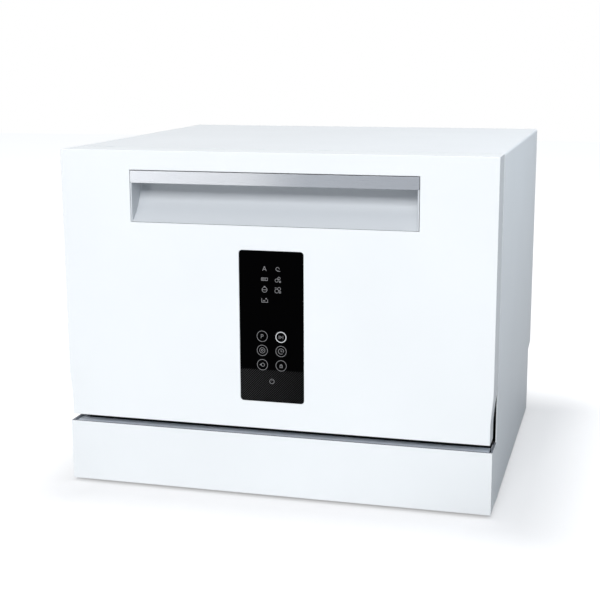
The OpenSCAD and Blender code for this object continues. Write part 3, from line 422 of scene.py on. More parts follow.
@dataclass(frozen=True)
class SoftRubber:
    """Rubber or a soft seal, with a chalky bloom."""

    name: str
    colour: Colour
    roughness: float = 0.72
    bloom: float = 0.22
    bloom_scale: float = 60.0
    swing: tuple[float, float] = (-0.08, 0.1)
    sheen_scale: float = 200.0
    grain: float = 0.3
    grain_scale: float = 1500.0
    grain_depth: float = 0.4 * MM

    def build(self) -> bpy.types.Material:
        """Makes the finish.

        Returns:
            The material.
        """
        s = Shader(self.name)
        at = s.place()
        s.set(Base_Color=s.tint(s.noise(self.bloom_scale, at, 5), self.colour, self.bloom),
              Roughness=s.around(s.noise(self.sheen_scale, at), self.roughness, self.swing))
        s.relief(s.noise(self.grain_scale, at, 4), self.grain, self.grain_depth)
        return s.material


@dataclass(frozen=True)
class SoundFelt:
    """Bituminous sound felt: short fibres pressed flat."""

    name: str
    colour: Colour
    fuzz: float = 0.3
    smoothest: float = 0.85
    roughest: float = 1.0
    fibre: float = 0.45
    fibre_scale: float = 900.0
    fibre_stretch: Point = (1, 0.25, 1)
    tuft: float = 0.7
    tuft_scale: float = 300.0
    tuft_stretch: Point = (0.3, 1, 0.6)
    tuft_depth: float = 1.2 * MM

    def build(self) -> bpy.types.Material:
        """Makes the finish.

        Returns:
            The material.
        """
        s = Shader(self.name)
        fibres = s.noise(self.fibre_scale, s.place(self.fibre_stretch), 6)
        tufts = s.noise(self.tuft_scale, s.place(self.tuft_stretch), 5)
        s.set(Base_Color=s.tint(fibres, self.colour, self.fibre), Sheen_Weight=self.fuzz,
              Roughness=s.between(tufts, self.smoothest, self.roughest))
        s.relief(tufts, self.tuft, self.tuft_depth)
        return s.material


@dataclass(frozen=True)
class PlatedSteel:
    """Bright zinc on screws, springs and the striker."""

    name: str
    colour: Colour = (0.70, 0.71, 0.72)
    smoothest: float = 0.22
    roughest: float = 0.38
    cloud: float = 0.08
    cloud_scale: float = 400.0
    sheen_scale: float = 700.0
    grain: float = 0.08
    grain_scale: float = 2500.0
    grain_depth: float = 0.1 * MM

    def build(self) -> bpy.types.Material:
        """Makes the finish.

        Returns:
            The material.
        """
        s = Shader(self.name)
        at = s.place()
        sheen = s.noise(self.sheen_scale, at)
        s.set(Base_Color=s.tint(s.noise(self.cloud_scale, at), self.colour, self.cloud),
              Metallic=1.0, Roughness=s.between(sheen, self.smoothest, self.roughest))
        s.relief(s.noise(self.grain_scale, at), self.grain, self.grain_depth)
        return s.material


@dataclass(frozen=True)
class PanelGlass:
    """Back-printed black glass, with a fine slanted hatch printed over its lowest part."""

    name: str
    hatch_top: float
    pitch: float = 2.88 * MM
    ink: Colour = (0.0003, 0.0003, 0.0004)
    line: Colour = (0.060, 0.060, 0.061)
    line_from: float = 0.5
    edge_blur: float = 0.6 * MM
    half_w: float = 41 * MM
    right_share: float = 0.45
    gloss: float = 0.008
    smoothest: float = 0.05
    roughest: float = 0.09
    sheen_scale: float = 30.0
    wave: float = 0.02
    wave_scale: float = 12.0
    wave_depth: float = 0.3 * MM

    def build(self) -> bpy.types.Material:
        """Makes the finish.

        Returns:
            The material.
        """
        s = Shader(self.name)
        axes = s.axes()
        # Distance across lines that lean to the right
        across = s.calc("SUBTRACT", axes["X"], axes["Z"])
        wave = s.calc("SINE", s.calc("MULTIPLY", across, 2 * math.pi / self.pitch))
        lines = s.remap(wave, self.line_from, 1.0, smooth=True)
        low = s.remap(axes["Z"], self.hatch_top + self.edge_blur, self.hatch_top - self.edge_blur)
        fade = s.remap(axes["X"], -self.half_w, self.half_w, 1.0, self.right_share)
        shown = s.calc("MULTIPLY", lines, s.calc("MULTIPLY", low, fade))
        at = s.place()
        sheen = s.noise(self.sheen_scale, at)
        s.set(Base_Color=s.mix(shown, self.ink, self.line), Specular_IOR_Level=self.gloss,
              Roughness=s.between(sheen, self.smoothest, self.roughest))
        s.relief(s.noise(self.wave_scale, at, 1), self.wave, self.wave_depth)
        return s.material


@dataclass(frozen=True)
class PrintedInk:
    """Lit print on the glass."""

    name: str
    colour: Colour
    glow: float
    roughness: float = 0.5
    grain: float = 0.06
    grain_scale: float = 1500.0

    def build(self) -> bpy.types.Material:
        """Makes the finish.

        Returns:
            The material.
        """
        s = Shader(self.name)
        shade = s.tint(s.noise(self.grain_scale, s.place()), self.colour, self.grain)
        s.set(Base_Color=shade, Emission_Color=shade, Emission_Strength=self.glow,
              Roughness=self.roughness)
        return s.material


class Paints:
    """Every finish of the machine, built once."""

    def __init__(self, hatch_top: float) -> None:
        """Builds the materials.

        Args:
            hatch_top: Height of the upper edge of the hatch on the glass.
        """
        # Shells and sheet
        self.cabinet = SmoothShell(
            "white_paint", (0.865, 0.885, 0.905), 0.44, 0.06, 0.15).build()
        self.door = SmoothShell(
            "white_door_shell", (0.865, 0.885, 0.90), 0.44, 0.03, 0.25).build()
        # The door's ends, a darker white than its front: painted shade
        self.door_end_shade = SmoothShell(
            "white_door_end", (0.66, 0.68, 0.70), 0.44, 0.03, 0.25).build()
        self.plinth = SmoothShell(
            "white_plinth_shell", (0.845, 0.865, 0.88), 0.44, 0.03, 0.25).build()
        self.recess = SmoothShell("blue_grey_recess", (0.585, 0.61, 0.64), 0.42, 0.05).build()
        self.wire = SmoothShell("wire_coating", (0.55, 0.57, 0.60), 0.4, 0.12).build()
        # Metals
        self.strip = PaintedReflectionSteel("brushed_strip").build()
        self.tub = BrushedSteel("tub_stainless", Brushing.DEPTHWISE).build()
        self.liner = BrushedSteel("liner_stainless", Brushing.ACROSS).build()
        self.mesh = BrushedSteel(
            "filter_stainless", Brushing.DEPTHWISE, (0.58, 0.59, 0.6), 0.36).build()
        self.zinc = Galvanised("galvanised_sheet").build()
        self.plated = PlatedSteel("bright_zinc").build()
        # The control panel
        self.glass = PanelGlass("panel_glass", hatch_top).build()
        self.ink = PrintedInk("icon_print", (0.17, 0.17, 0.175), 0.10).build()
        self.lit = PrintedInk("lit_ring", (0.46, 0.47, 0.48), 0.28).build()
        # Mouldings
        self.dark = MouldedPlastic("dark_moulding", (0.018, 0.018, 0.02), 0.5).build()
        # Painted shade in the gap under the door: dark grey for the top of the plinth's walls,
        # bluish grey for its inside faces
        self.rim = MouldedPlastic("rim_moulding", (0.15, 0.162, 0.185), 0.5, 0.1).build()
        self.shelf = MouldedPlastic("pale_shelf", (0.67, 0.71, 0.775), 0.5, 0.1).build()
        self.grey = MouldedPlastic("grey_moulding", (0.28, 0.29, 0.31), 0.48).build()
        self.pale = MouldedPlastic("white_moulding", (0.70, 0.71, 0.72), 0.45, 0.15).build()
        self.blue = MouldedPlastic("blue_moulding", (0.02, 0.08, 0.34), 0.4, 0.15).build()
        # Soft goods
        self.rubber = SoftRubber("black_rubber", (0.016, 0.016, 0.017)).build()
        self.seal = SoftRubber("grey_seal", (0.10, 0.105, 0.115), 0.6).build()
        self.felt = SoundFelt("sound_felt", (0.035, 0.035, 0.037)).build()


# ------------------------------------------------------------------ mesh building blocks

def new_object(name: str, mesh: bpy.types.Mesh,
               finish: bpy.types.Material) -> bpy.types.Object:
    """Links a mesh into the scene with one finish.

    Args:
        name: Name of the object.
        mesh: Its mesh.
        finish: Its material.

    Returns:
        The object.
    """
    mesh.materials.clear()
    mesh.materials.append(finish)
    obj = bpy.data.objects.new(name, mesh)
    bpy.context.scene.collection.objects.link(obj)
    return obj


def as_mesh(name: str, work: bmesh.types.BMesh) -> bpy.types.Mesh:
    """Turns a working mesh, which is used up, into a plain one.

    Args:
        name: Name of the mesh.
        work: The working mesh.

    Returns:
        The plain mesh.
    """
    mesh = bpy.data.meshes.new(name)
    work.to_mesh(mesh)
    work.free()
    return mesh


def bake(obj: bpy.types.Object) -> bpy.types.Object:
    """Turns an object's modifiers into its plain mesh.

    Args:
        obj: The object.

    Returns:
        The same object.
    """
    bpy.context.view_layer.update()
    shown = obj.evaluated_get(bpy.context.evaluated_depsgraph_get())
    shaped = bpy.data.meshes.new_from_object(shown)
    shaped.name = obj.name
    obj.modifiers.clear()
    obj.data = shaped
    return obj


def shade(mesh: bpy.types.Mesh, crease_deg: float = 38.0) -> None:
    """Smooths a mesh's shading, except over creases."""
    mesh.polygons.foreach_set("use_smooth", [True] * len(mesh.polygons))
    mesh.set_sharp_from_angle(angle=math.radians(crease_deg))


def round_edges(obj: bpy.types.Object, width: float, segments: int = 3,
                angle_deg: float = 30.0) -> None:
    """Rounds an object's sharp edges with a live bevel, and bakes it.

    Args:
        obj: The object.
        width: Width of the rounding.
        segments: Steps of the rounding.
        angle_deg: Edges that fold by more than this are sharp.
    """
    shade(obj.data)
    bevel = obj.modifiers.new("edges", "BEVEL")
    bevel.width, bevel.segments = width, segments
    bevel.limit_method, bevel.angle_limit = "ANGLE", math.radians(angle_deg)
    bevel.harden_normals = True
    bake(obj)


def body_of(node: str) -> str:
    """The body that a node belongs to."""
    bodies = frame["record"]["behaviour"]["bodies"]
    return next(body for body, names in bodies.items() if node in names)


def own(obj: bpy.types.Object, node: str) -> bpy.types.Object:
    """Makes a piece stand for a node, on its body.

    Args:
        obj: The piece.
        node: The node that it replaces.

    Returns:
        The same piece.
    """
    body = body_of(node)
    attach(obj, body)
    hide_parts(node)
    LOG.info("%s rides on %s", obj.name, body)
    return obj


def copy_mesh(node: str, weld: float = 0.004 * MM, flat_deg: float = 0.4) -> bmesh.types.BMesh:
    """Copies a node's mesh, with its doubles merged and its flat faces whole.

    Args:
        node: The node.
        weld: Corners closer than this are one.
        flat_deg: Faces that fold by less than this are one.

    Returns:
        The working mesh.
    """
    work = bmesh.new()
    work.from_mesh(frame["nodes"][node].data)
    bmesh.ops.remove_doubles(work, verts=work.verts, dist=weld)
    bmesh.ops.dissolve_limit(work, angle_limit=math.radians(flat_deg), verts=work.verts,
                             edges=work.edges)
    return work


def soften(node: str, finish: bpy.types.Material, width_mm: float = 0.5, segments: int = 2,
           folded: EdgeTest | None = None, fold: float = 1.5 * MM) -> bpy.types.Object:
    """Stands a copy of a node with rounded edges in its place.

    Args:
        node: The node.
        finish: Its material.
        width_mm: Width of the rounding.
        segments: Steps of the rounding.
        folded: Which edges, by their two ends, are folded over with a wider rounding.
        fold: Width of that rounding.

    Returns:
        The finished piece.
    """
    work = copy_mesh(node)
    if folded:
        edges = [e for e in work.edges if folded(e.verts[0].co, e.verts[1].co)]
        bmesh.ops.bevel(work, geom=edges, offset=fold, offset_type="OFFSET", segments=3,
                        profile=0.5, affect="EDGES")
    obj = new_object(node + "_formed", as_mesh(node + "_formed", work), finish)
    round_edges(obj, width_mm * MM, segments)
    return own(obj, node)


def paint_faces(obj: bpy.types.Object, finish: bpy.types.Material, chosen: FaceTest) -> None:
    """Gives the faces that a test chooses their own finish.

    Args:
        obj: The piece.
        finish: The material that is added to it.
        chosen: The test, on a face's corners and its normal.
    """
    obj.data.materials.append(finish)
    index = len(obj.data.materials) - 1
    for face in obj.data.polygons:
        if chosen([obj.data.vertices[i].co for i in face.vertices], face.normal):
            face.material_index = index


def merged(name: str, parts: list[bpy.types.Object],
           finish: bpy.types.Material) -> bpy.types.Object:
    """Makes one piece of several, which are used up.

    Args:
        name: Name of the new piece.
        parts: Plain meshes with their places baked in.
        finish: The material of the whole.

    Returns:
        The new piece.
    """
    work = bmesh.new()
    for part in parts:
        work.from_mesh(part.data)
        bpy.data.objects.remove(part)
    mesh = as_mesh(name, work)
    shade(mesh, 40)
    return new_object(name, mesh, finish)


def closed_ring(name: str, loops: list[list[Point]],
                finish: bpy.types.Material) -> bpy.types.Object:
    """Skins closed loops of corners, each to the next and the last to the first.

    Args:
        name: Name of the piece.
        loops: The loops, with as many corners each.
        finish: Its material.

    Returns:
        The piece.
    """
    work = bmesh.new()
    rows = [[work.verts.new(corner) for corner in loop] for loop in loops]
    for one, two in zip(rows, rows[1:] + rows[:1]):
        for i in range(len(one)):
            j = (i + 1) % len(one)
            work.faces.new((one[i], one[j], two[j], two[i]))
    bmesh.ops.recalc_face_normals(work, faces=work.faces)
    return new_object(name, as_mesh(name, work), finish)


def lathe(name: str, profile: list[tuple[float, float]], finish: bpy.types.Material,
          steps: int = 24, axis: str = "Z") -> bpy.types.Object:
    """Turns a profile round an axis through the origin into a closed shell.

    Args:
        name: Name of the piece.
        profile: Radius and height of each point, which starts and ends on the axis.
        finish: Its material.
        steps: Steps round the axis.
        axis: The axis, Y or Z.

    Returns:
        The piece.
    """
    work = bmesh.new()
    rings: list[list[bmesh.types.BMVert]] = []
    for radius, height in profile:
        ring = []
        for i in range(steps if radius > 0 else 1):
            angle = 2 * math.pi * i / steps
            x, y = radius * math.cos(angle), radius * math.sin(angle)
            ring.append(work.verts.new((x, y, height) if axis == "Z" else (x, height, -y)))
        rings.append(ring)
    for one, two in zip(rings, rings[1:]):
        for i in range(steps):
            j = (i + 1) % steps
            corners = (one[i % len(one)], one[j % len(one)], two[j % len(two)], two[i % len(two)])
            # At the axis two corners are one, and the face is a triangle or nothing
            face = list(dict.fromkeys(corners))
            if len(face) > 2:
                work.faces.new(face)
    bmesh.ops.recalc_face_normals(work, faces=work.faces)
    mesh = as_mesh(name, work)
    shade(mesh)
    return new_object(name, mesh, finish)


@dataclass(frozen=True)
class CrossScrew:
    """A pan head with a cross recess, which faces +Y and is seated at the origin."""

    finish: bpy.types.Material
    radius: float
    rise: float
    # Radius and height of each point, as shares of the head's
    profile: tuple[tuple[float, float], ...] = (
        (0, 0), (1, 0), (1, 0.4), (0.86, 0.8), (0.5, 1), (0, 1))
    slot_w: float = 0.26
    slot_l: float = 1.2
    slot_y: float = 0.95
    steps: int = 20

    def build(self) -> bpy.types.Object:
        """Turns the head and cuts its recess.

        Returns:
            The screw's head, to be stamped.
        """
        head = lathe("screw_head", [(r * self.radius, h * self.rise) for r, h in self.profile],
                     self.finish, self.steps, "Y")
        cutter = self.cross()
        cut = head.modifiers.new("recess", "BOOLEAN")
        cut.object, cut.solver, cut.use_self = cutter, "EXACT", True
        bake(head)
        bpy.data.objects.remove(cutter)
        return head

    def cross(self) -> bpy.types.Object:
        """Makes the cross that is cut out of the head.

        Returns:
            The cutter.
        """
        work = bmesh.new()
        seat = Matrix.Translation((0, self.slot_y * self.rise, 0))
        narrow, long = self.slot_w * self.radius, self.slot_l * self.radius
        for size in ((long, self.rise, narrow), (narrow, self.rise, long)):
            bmesh.ops.create_cube(work, size=1, matrix=seat @ Matrix.Diagonal((*size, 1)))
        return new_object("recess_cutter", as_mesh("recess_cutter", work), self.finish)


# ------------------------------------------------------------------ geometry node trees

class GeoTree:
    """A Geometry Nodes tree under construction, with named inputs."""

    def __init__(self, name: str) -> None:
        """Starts a tree with a geometry in and out.

        Args:
            name: Name of the tree.
        """
        self.group = bpy.data.node_groups.new(name, "GeometryNodeTree")
        for way in ("INPUT", "OUTPUT"):
            self.group.interface.new_socket("Geometry", in_out=way,
                                            socket_type="NodeSocketGeometry")
        self.start = self.group.nodes.new("NodeGroupInput")
        self.end = self.group.nodes.new("NodeGroupOutput")

    def input(self, label: str, kind: str) -> bpy.types.NodeSocket:
        """Adds a named input, and gives its socket inside the tree."""
        self.group.interface.new_socket(label, in_out="INPUT", socket_type="NodeSocket" + kind)
        return self.start.outputs[label]

    def add(self, kind: str, settings: dict[str, object] | None = None,
            **inputs: object) -> bpy.types.Node:
        """Adds a node.

        Args:
            kind: Blender's type name of the node, without its GeometryNode prefix.
            settings: Properties of the node.
            **inputs: Values or sockets, by input name with spaces written as underscores.

        Returns:
            The new node.
        """
        node = self.group.nodes.new("GeometryNode" + kind)
        for key, value in (settings or {}).items():
            setattr(node, key, value)
        for key, value in inputs.items():
            socket = node.inputs[key.replace("_", " ")]
            if isinstance(value, bpy.types.NodeSocket):
                self.group.links.new(value, socket)
            else:
                socket.default_value = value
        return node

    def finish(self, geometry: bpy.types.NodeSocket) -> None:
        """Ends the tree in realised instances with one material.

        Args:
            geometry: What the tree has made.
        """
        real = self.add("RealizeInstances", Geometry=geometry)
        paint = self.add("SetMaterial", Geometry=real.outputs[0],
                         Material=self.input("Finish", "Material"))
        self.group.links.new(paint.outputs[0], self.end.inputs["Geometry"])

    def tube(self, line: bpy.types.NodeSocket, section: bpy.types.NodeSocket) -> None:
        """Ends the tree in a smooth, capped tube.

        Args:
            line: The curve that the tube follows.
            section: The curve of its section.
        """
        tube = self.add("CurveToMesh", Curve=line, Profile_Curve=section, Fill_Caps=True)
        self.finish(self.add("SetShadeSmooth", Geometry=tube.outputs[0]).outputs[0])

    def run(self, obj: bpy.types.Object, **values: object) -> bpy.types.Object:
        """Puts the tree on an object with its inputs set, and bakes it.

        Args:
            obj: The object.
            **values: Values by input name.

        Returns:
            The same object.
        """
        modifier = obj.modifiers.new(self.group.name, "NODES")
        modifier.node_group = self.group
        for item in self.group.interface.items_tree:
            if item.in_out == "INPUT" and item.name in values:
                modifier[item.identifier] = values[item.name]
        return bake(obj)


def wire_tree() -> GeoTree:
    """Plans bent wire: every chain of edges becomes a round wire with filleted bends.

    Returns:
        The tree.
    """
    t = GeoTree("bent_wire")
    line = t.add("MeshToCurve", Mesh=t.start.outputs["Geometry"])
    bends = t.add("FilletCurve", {"mode": "POLY"}, Curve=line.outputs[0], Count=4,
                  Radius=t.input("Bend", "Float"), Limit_Radius=True)
    section = t.add("CurvePrimitiveCircle", Resolution=t.input("Sides", "Int"),
                    Radius=t.input("Radius", "Float"))
    t.tube(bends.outputs[0], section.outputs[0])
    return t


def stamp_tree() -> GeoTree:
    """Plans the repeat of one small object on every point of a mesh.

    Returns:
        The tree.
    """
    t = GeoTree("repeat_on_points")
    stamp = t.add("ObjectInfo", Object=t.input("Stamp", "Object"))
    many = t.add("InstanceOnPoints", Points=t.start.outputs["Geometry"],
                 Instance=stamp.outputs["Geometry"])
    t.finish(many.outputs[0])
    return t


def coil_tree() -> GeoTree:
    """Plans a coil spring about Z, from the origin upwards.

    Returns:
        The tree.
    """
    t = GeoTree("coil_spring")
    radius = t.input("Radius", "Float")
    spiral = t.add("CurveSpiral", Resolution=16, Rotations=t.input("Turns", "Float"),
                   Start_Radius=radius, End_Radius=radius, Height=t.input("Height", "Float"))
    section = t.add("CurvePrimitiveCircle", Resolution=8, Radius=t.input("Wire", "Float"))
    t.tube(spiral.outputs[0], section.outputs[0])
    return t


def stamped(name: str, tree: GeoTree, stamp: bpy.types.Object,
            points: list[Point]) -> bpy.types.Object:
    """Copies a stamp, which is used up, to points, as one mesh.

    Args:
        name: Name of the piece.
        tree: The tree of stamp_tree.
        stamp: What is copied, with its finish.
        points: Where its origin comes.

    Returns:
        The piece.
    """
    mesh = bpy.data.meshes.new(name)
    mesh.from_pydata(points, [], [])
    finish = stamp.data.materials[0]
    obj = tree.run(new_object(name, mesh, finish), Stamp=stamp, Finish=finish)
    bpy.data.objects.remove(stamp)
    shade(obj.data)
    return obj


def wires(name: str, tree: GeoTree, lines: list[list[Point]], finish: bpy.types.Material,
          radius: float, bend: float, closed: bool = False) -> bpy.types.Object:
    """Bends round wires along lines of points.

    Args:
        name: Name of the piece.
        tree: The tree of wire_tree.
        lines: Corners of each wire.
        finish: Its material.
        radius: Radius of the wire.
        bend: Radius of its bends.
        closed: Whether each wire's ends meet.

    Returns:
        The piece.
    """
    corners: list[Point] = []
    edges: list[tuple[int, int]] = []
    for line in lines:
        first, last = len(corners), len(corners) + len(line) - 1
        edges += [(i, i + 1) for i in range(first, last)]
        if closed:
            edges.append((last, first))
        corners += line
    mesh = bpy.data.meshes.new(name)
    mesh.from_pydata(corners, edges, [])
    return tree.run(new_object(name, mesh, finish), Radius=radius, Bend=bend, Sides=10,
                    Finish=finish)


# ------------------------------------------------------------------ sub-assemblies

@dataclass
class Cabinet:
    """The painted wrap, the back panel and their screws."""

    paints: Paints
    trees: dict[str, GeoTree]
    head_r: float = 3.5 * MM
    head_h: float = 2.1 * MM
    screw_in: float = 6 * MM
    side_screws: int = 4
    lowest_screw: float = 129.5 * MM
    highest_screw_drop: float = 20 * MM
    top_screw_in: float = 150 * MM
    touch: float = 0.05 * MM

    def hem_test(self) -> EdgeTest:
        """Makes the test of an edge, by its ends, for the folded front edge of a side.

        Returns:
            The test.
        """
        low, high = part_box("outer_cabinet")
        return lambda *ends: all(
            abs(c.y - low.y) < self.touch and abs(abs(c.x) - high.x) < self.touch for c in ends)

    def build(self) -> None:
        """Makes every piece of the cabinet."""
        soften("outer_cabinet", self.paints.cabinet, 0.35, folded=self.hem_test())
        soften("back_panel", self.paints.zinc, 0.3)
        self.screws()

    def screws(self) -> None:
        """Drives the cross-recess screws of the back panel."""
        seat_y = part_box("back_screws")[1].y - self.head_h
        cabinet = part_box("outer_cabinet")[1]
        side_x, top_z = cabinet.x - self.screw_in, cabinet.z - self.screw_in
        foot, reach = self.lowest_screw, cabinet.z - self.highest_screw_drop - self.lowest_screw
        points = [(s * side_x, seat_y, foot + reach * i / (self.side_screws - 1))
                  for s in (-1, 1) for i in range(self.side_screws)]
        points += [(s * (cabinet.x - self.top_screw_in), seat_y, top_z) for s in (-1, 0, 1)]
        head = CrossScrew(self.paints.plated, self.head_r, self.head_h).build()
        own(stamped("panel_screws", self.trees["stamp"], head, points), "back_screws")


@dataclass
class Base:
    """The tray, the plinth and the feet."""

    paints: Paints
    wall: float = 2.5 * MM
    rim_h: float = 0.3 * MM

    def inside_test(self) -> FaceTest:
        """Makes the test of a face for lying behind the plinth's front and side walls.

        Returns:
            The test.
        """
        low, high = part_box("plinth")
        front, side = low.y + 0.6 * self.wall, high.x - 0.6 * self.wall
        return lambda corners, normal: all(c.y > front and abs(c.x) < side for c in corners)

    def rim_test(self) -> FaceTest:
        """Makes the test of a face for being part of the flat top of the plinth's walls.

        Returns:
            The test.
        """
        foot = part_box("plinth")[1].z - self.rim_h
        return lambda corners, normal: normal.z > 0.7 and all(c.z > foot for c in corners)

    def build(self) -> None:
        """Makes every piece of the base."""
        plinth = soften("plinth", self.paints.plinth, 0.8, 3)
        # Painted shade: the plinth's inside faces and the top of its walls, seen in the gap under
        # the door, get greys
        paint_faces(plinth, self.paints.shelf, self.inside_test())
        paint_faces(plinth, self.paints.rim, self.rim_test())
        soften("base_tray", self.paints.dark, 0.3)
        soften("rubber_feet", self.paints.rubber, 1.0, 3)


@dataclass
class Tub:
    """The wash tub with its seals, rails and latch."""

    paints: Paints

    def build(self) -> None:
        """Makes every piece of the tub."""
        p = self.paints
        soften("tub", p.tub, 0.3)
        soften("tub_insulation", p.felt, 1.0)
        soften("door_gasket", p.seal, 1.2, 3)
        soften("sill_seal", p.seal, 0.8)
        for side in ("left", "right"):
            soften(f"rack_rail_{side}", p.grey, 0.5)
        soften("door_latch", p.dark, 0.5)


@dataclass
class Hinges:
    """The brackets, arms and springs of the door."""

    paints: Paints
    trees: dict[str, GeoTree]
    wire_r: float = 0.7 * MM
    foot_hook: float = 12.5 * MM
    head_hook: float = 6 * MM
    hook_neck: float = 3 * MM
    hook_bend: float = 1.5 * MM
    turns: float = 24.0

    def build(self) -> None:
        """Makes every piece of the hinges."""
        for side in ("left", "right"):
            soften(f"hinge_bracket_{side}", self.paints.zinc, 0.3)
            soften(f"hinge_arm_{side}", self.paints.zinc, 0.3)
            self.spring(side)

    def spring(self, side: str) -> None:
        """Winds a door spring between its hooks.

        Args:
            side: Left or right.
        """
        node, finish = f"hinge_spring_{side}", self.paints.plated
        low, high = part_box(node)
        x, y = 0.5 * (low.x + high.x), 0.5 * (low.y + high.y)
        radius = 0.5 * (high.x - low.x) - self.wire_r
        foot, head = low.z + self.foot_hook, high.z - self.head_hook
        empty = new_object("coil", bpy.data.meshes.new("coil"), finish)
        coil = self.trees["coil"].run(empty, Turns=self.turns, Radius=radius,
                                      Height=head - foot, Wire=self.wire_r, Finish=finish)
        coil.data.transform(Matrix.Translation((x, y, foot)))
        hooks = [[(x, y, low.z), (x, y, foot - self.hook_neck), (x + radius, y, foot)],
                 [(x, y, high.z), (x, y, head + self.hook_neck), (x + radius, y, head)]]
        ends = wires("hooks", self.trees["wire"], hooks, finish, self.wire_r, self.hook_bend)
        obj = merged(f"door_spring_{side}", [coil, ends], finish)
        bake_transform(obj)
        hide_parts(node)
        LOG.info("%s winds", obj.name)


@dataclass
class Door:
    """The door's shell, recess, strip, glass and inner side."""

    paints: Paints
    trees: dict[str, GeoTree]
    head_r: float = 3.2 * MM
    screw_rows: int = 3
    end_from: float = 268 * MM
    key_r: float = 7.0 * MM
    key_x: float = 12.1 * MM
    start_key_rise: float = 83.7 * MM
    ring_in: float = 1.6 * MM
    ring_out: float = 0.4 * MM

    def build(self) -> None:
        """Makes every piece of the door."""
        p = self.paints
        front = soften("door_front", p.door, 0.8, 3)
        # Painted shade: the door's left and right ends get the darker white
        paint_faces(front, p.door_end_shade, self.end_test())
        soften("finger_recess", p.recess, 0.5, 3)
        soften("steel_strip", p.strip, 0.35, 2)
        soften("touch_glass", p.glass, 0.3, 3)
        self.icons()
        soften("display_housing", p.dark, 0.5)
        soften("door_liner", p.liner, 0.4, 3)
        self.screws()
        soften("door_insulation", p.felt, 1.0)
        soften("door_striker", p.plated, 0.3)
        soften("dispenser", p.grey, 0.5)
        soften("dispenser_lid", p.pale, 0.5)
        soften("rinse_cap", p.blue, 0.3, 2)

    def end_test(self) -> FaceTest:
        """Makes the test of a face for being on the door's left or right end.

        Returns:
            The test.
        """
        return lambda corners, normal: abs(normal.x) > 0.9 and all(
            abs(c.x) > self.end_from for c in corners)

    def start_ring_test(self) -> FaceTest:
        """Makes the test of a face of the print for belonging to the start key's ring.

        Returns:
            The test.
        """
        key_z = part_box("touch_glass")[0].z + self.start_key_rise
        inner, outer = self.key_r - self.ring_in, self.key_r + self.ring_out
        return lambda corners, normal: all(
            inner < math.hypot(c.x - self.key_x, c.z - key_z) < outer for c in corners)

    def screws(self) -> None:
        """Drives the cross-recess screws of the liner."""
        low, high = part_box("liner_screws")
        foot, reach = low.z + self.head_r, high.z - low.z - 2 * self.head_r
        points = [(x, low.y, foot + reach * i / (self.screw_rows - 1))
                  for x in (low.x + self.head_r, high.x - self.head_r)
                  for i in range(self.screw_rows)]
        head = CrossScrew(self.paints.plated, self.head_r, high.y - low.y).build()
        own(stamped("rim_screws", self.trees["stamp"], head, points), "liner_screws")

    def icons(self) -> None:
        """Prints the marks on the glass, with the start key's ring lit."""
        mesh = as_mesh("panel_print", copy_mesh("panel_icons"))
        obj = new_object("panel_print", mesh, self.paints.ink)
        paint_faces(obj, self.paints.lit, self.start_ring_test())
        own(obj, "panel_icons")


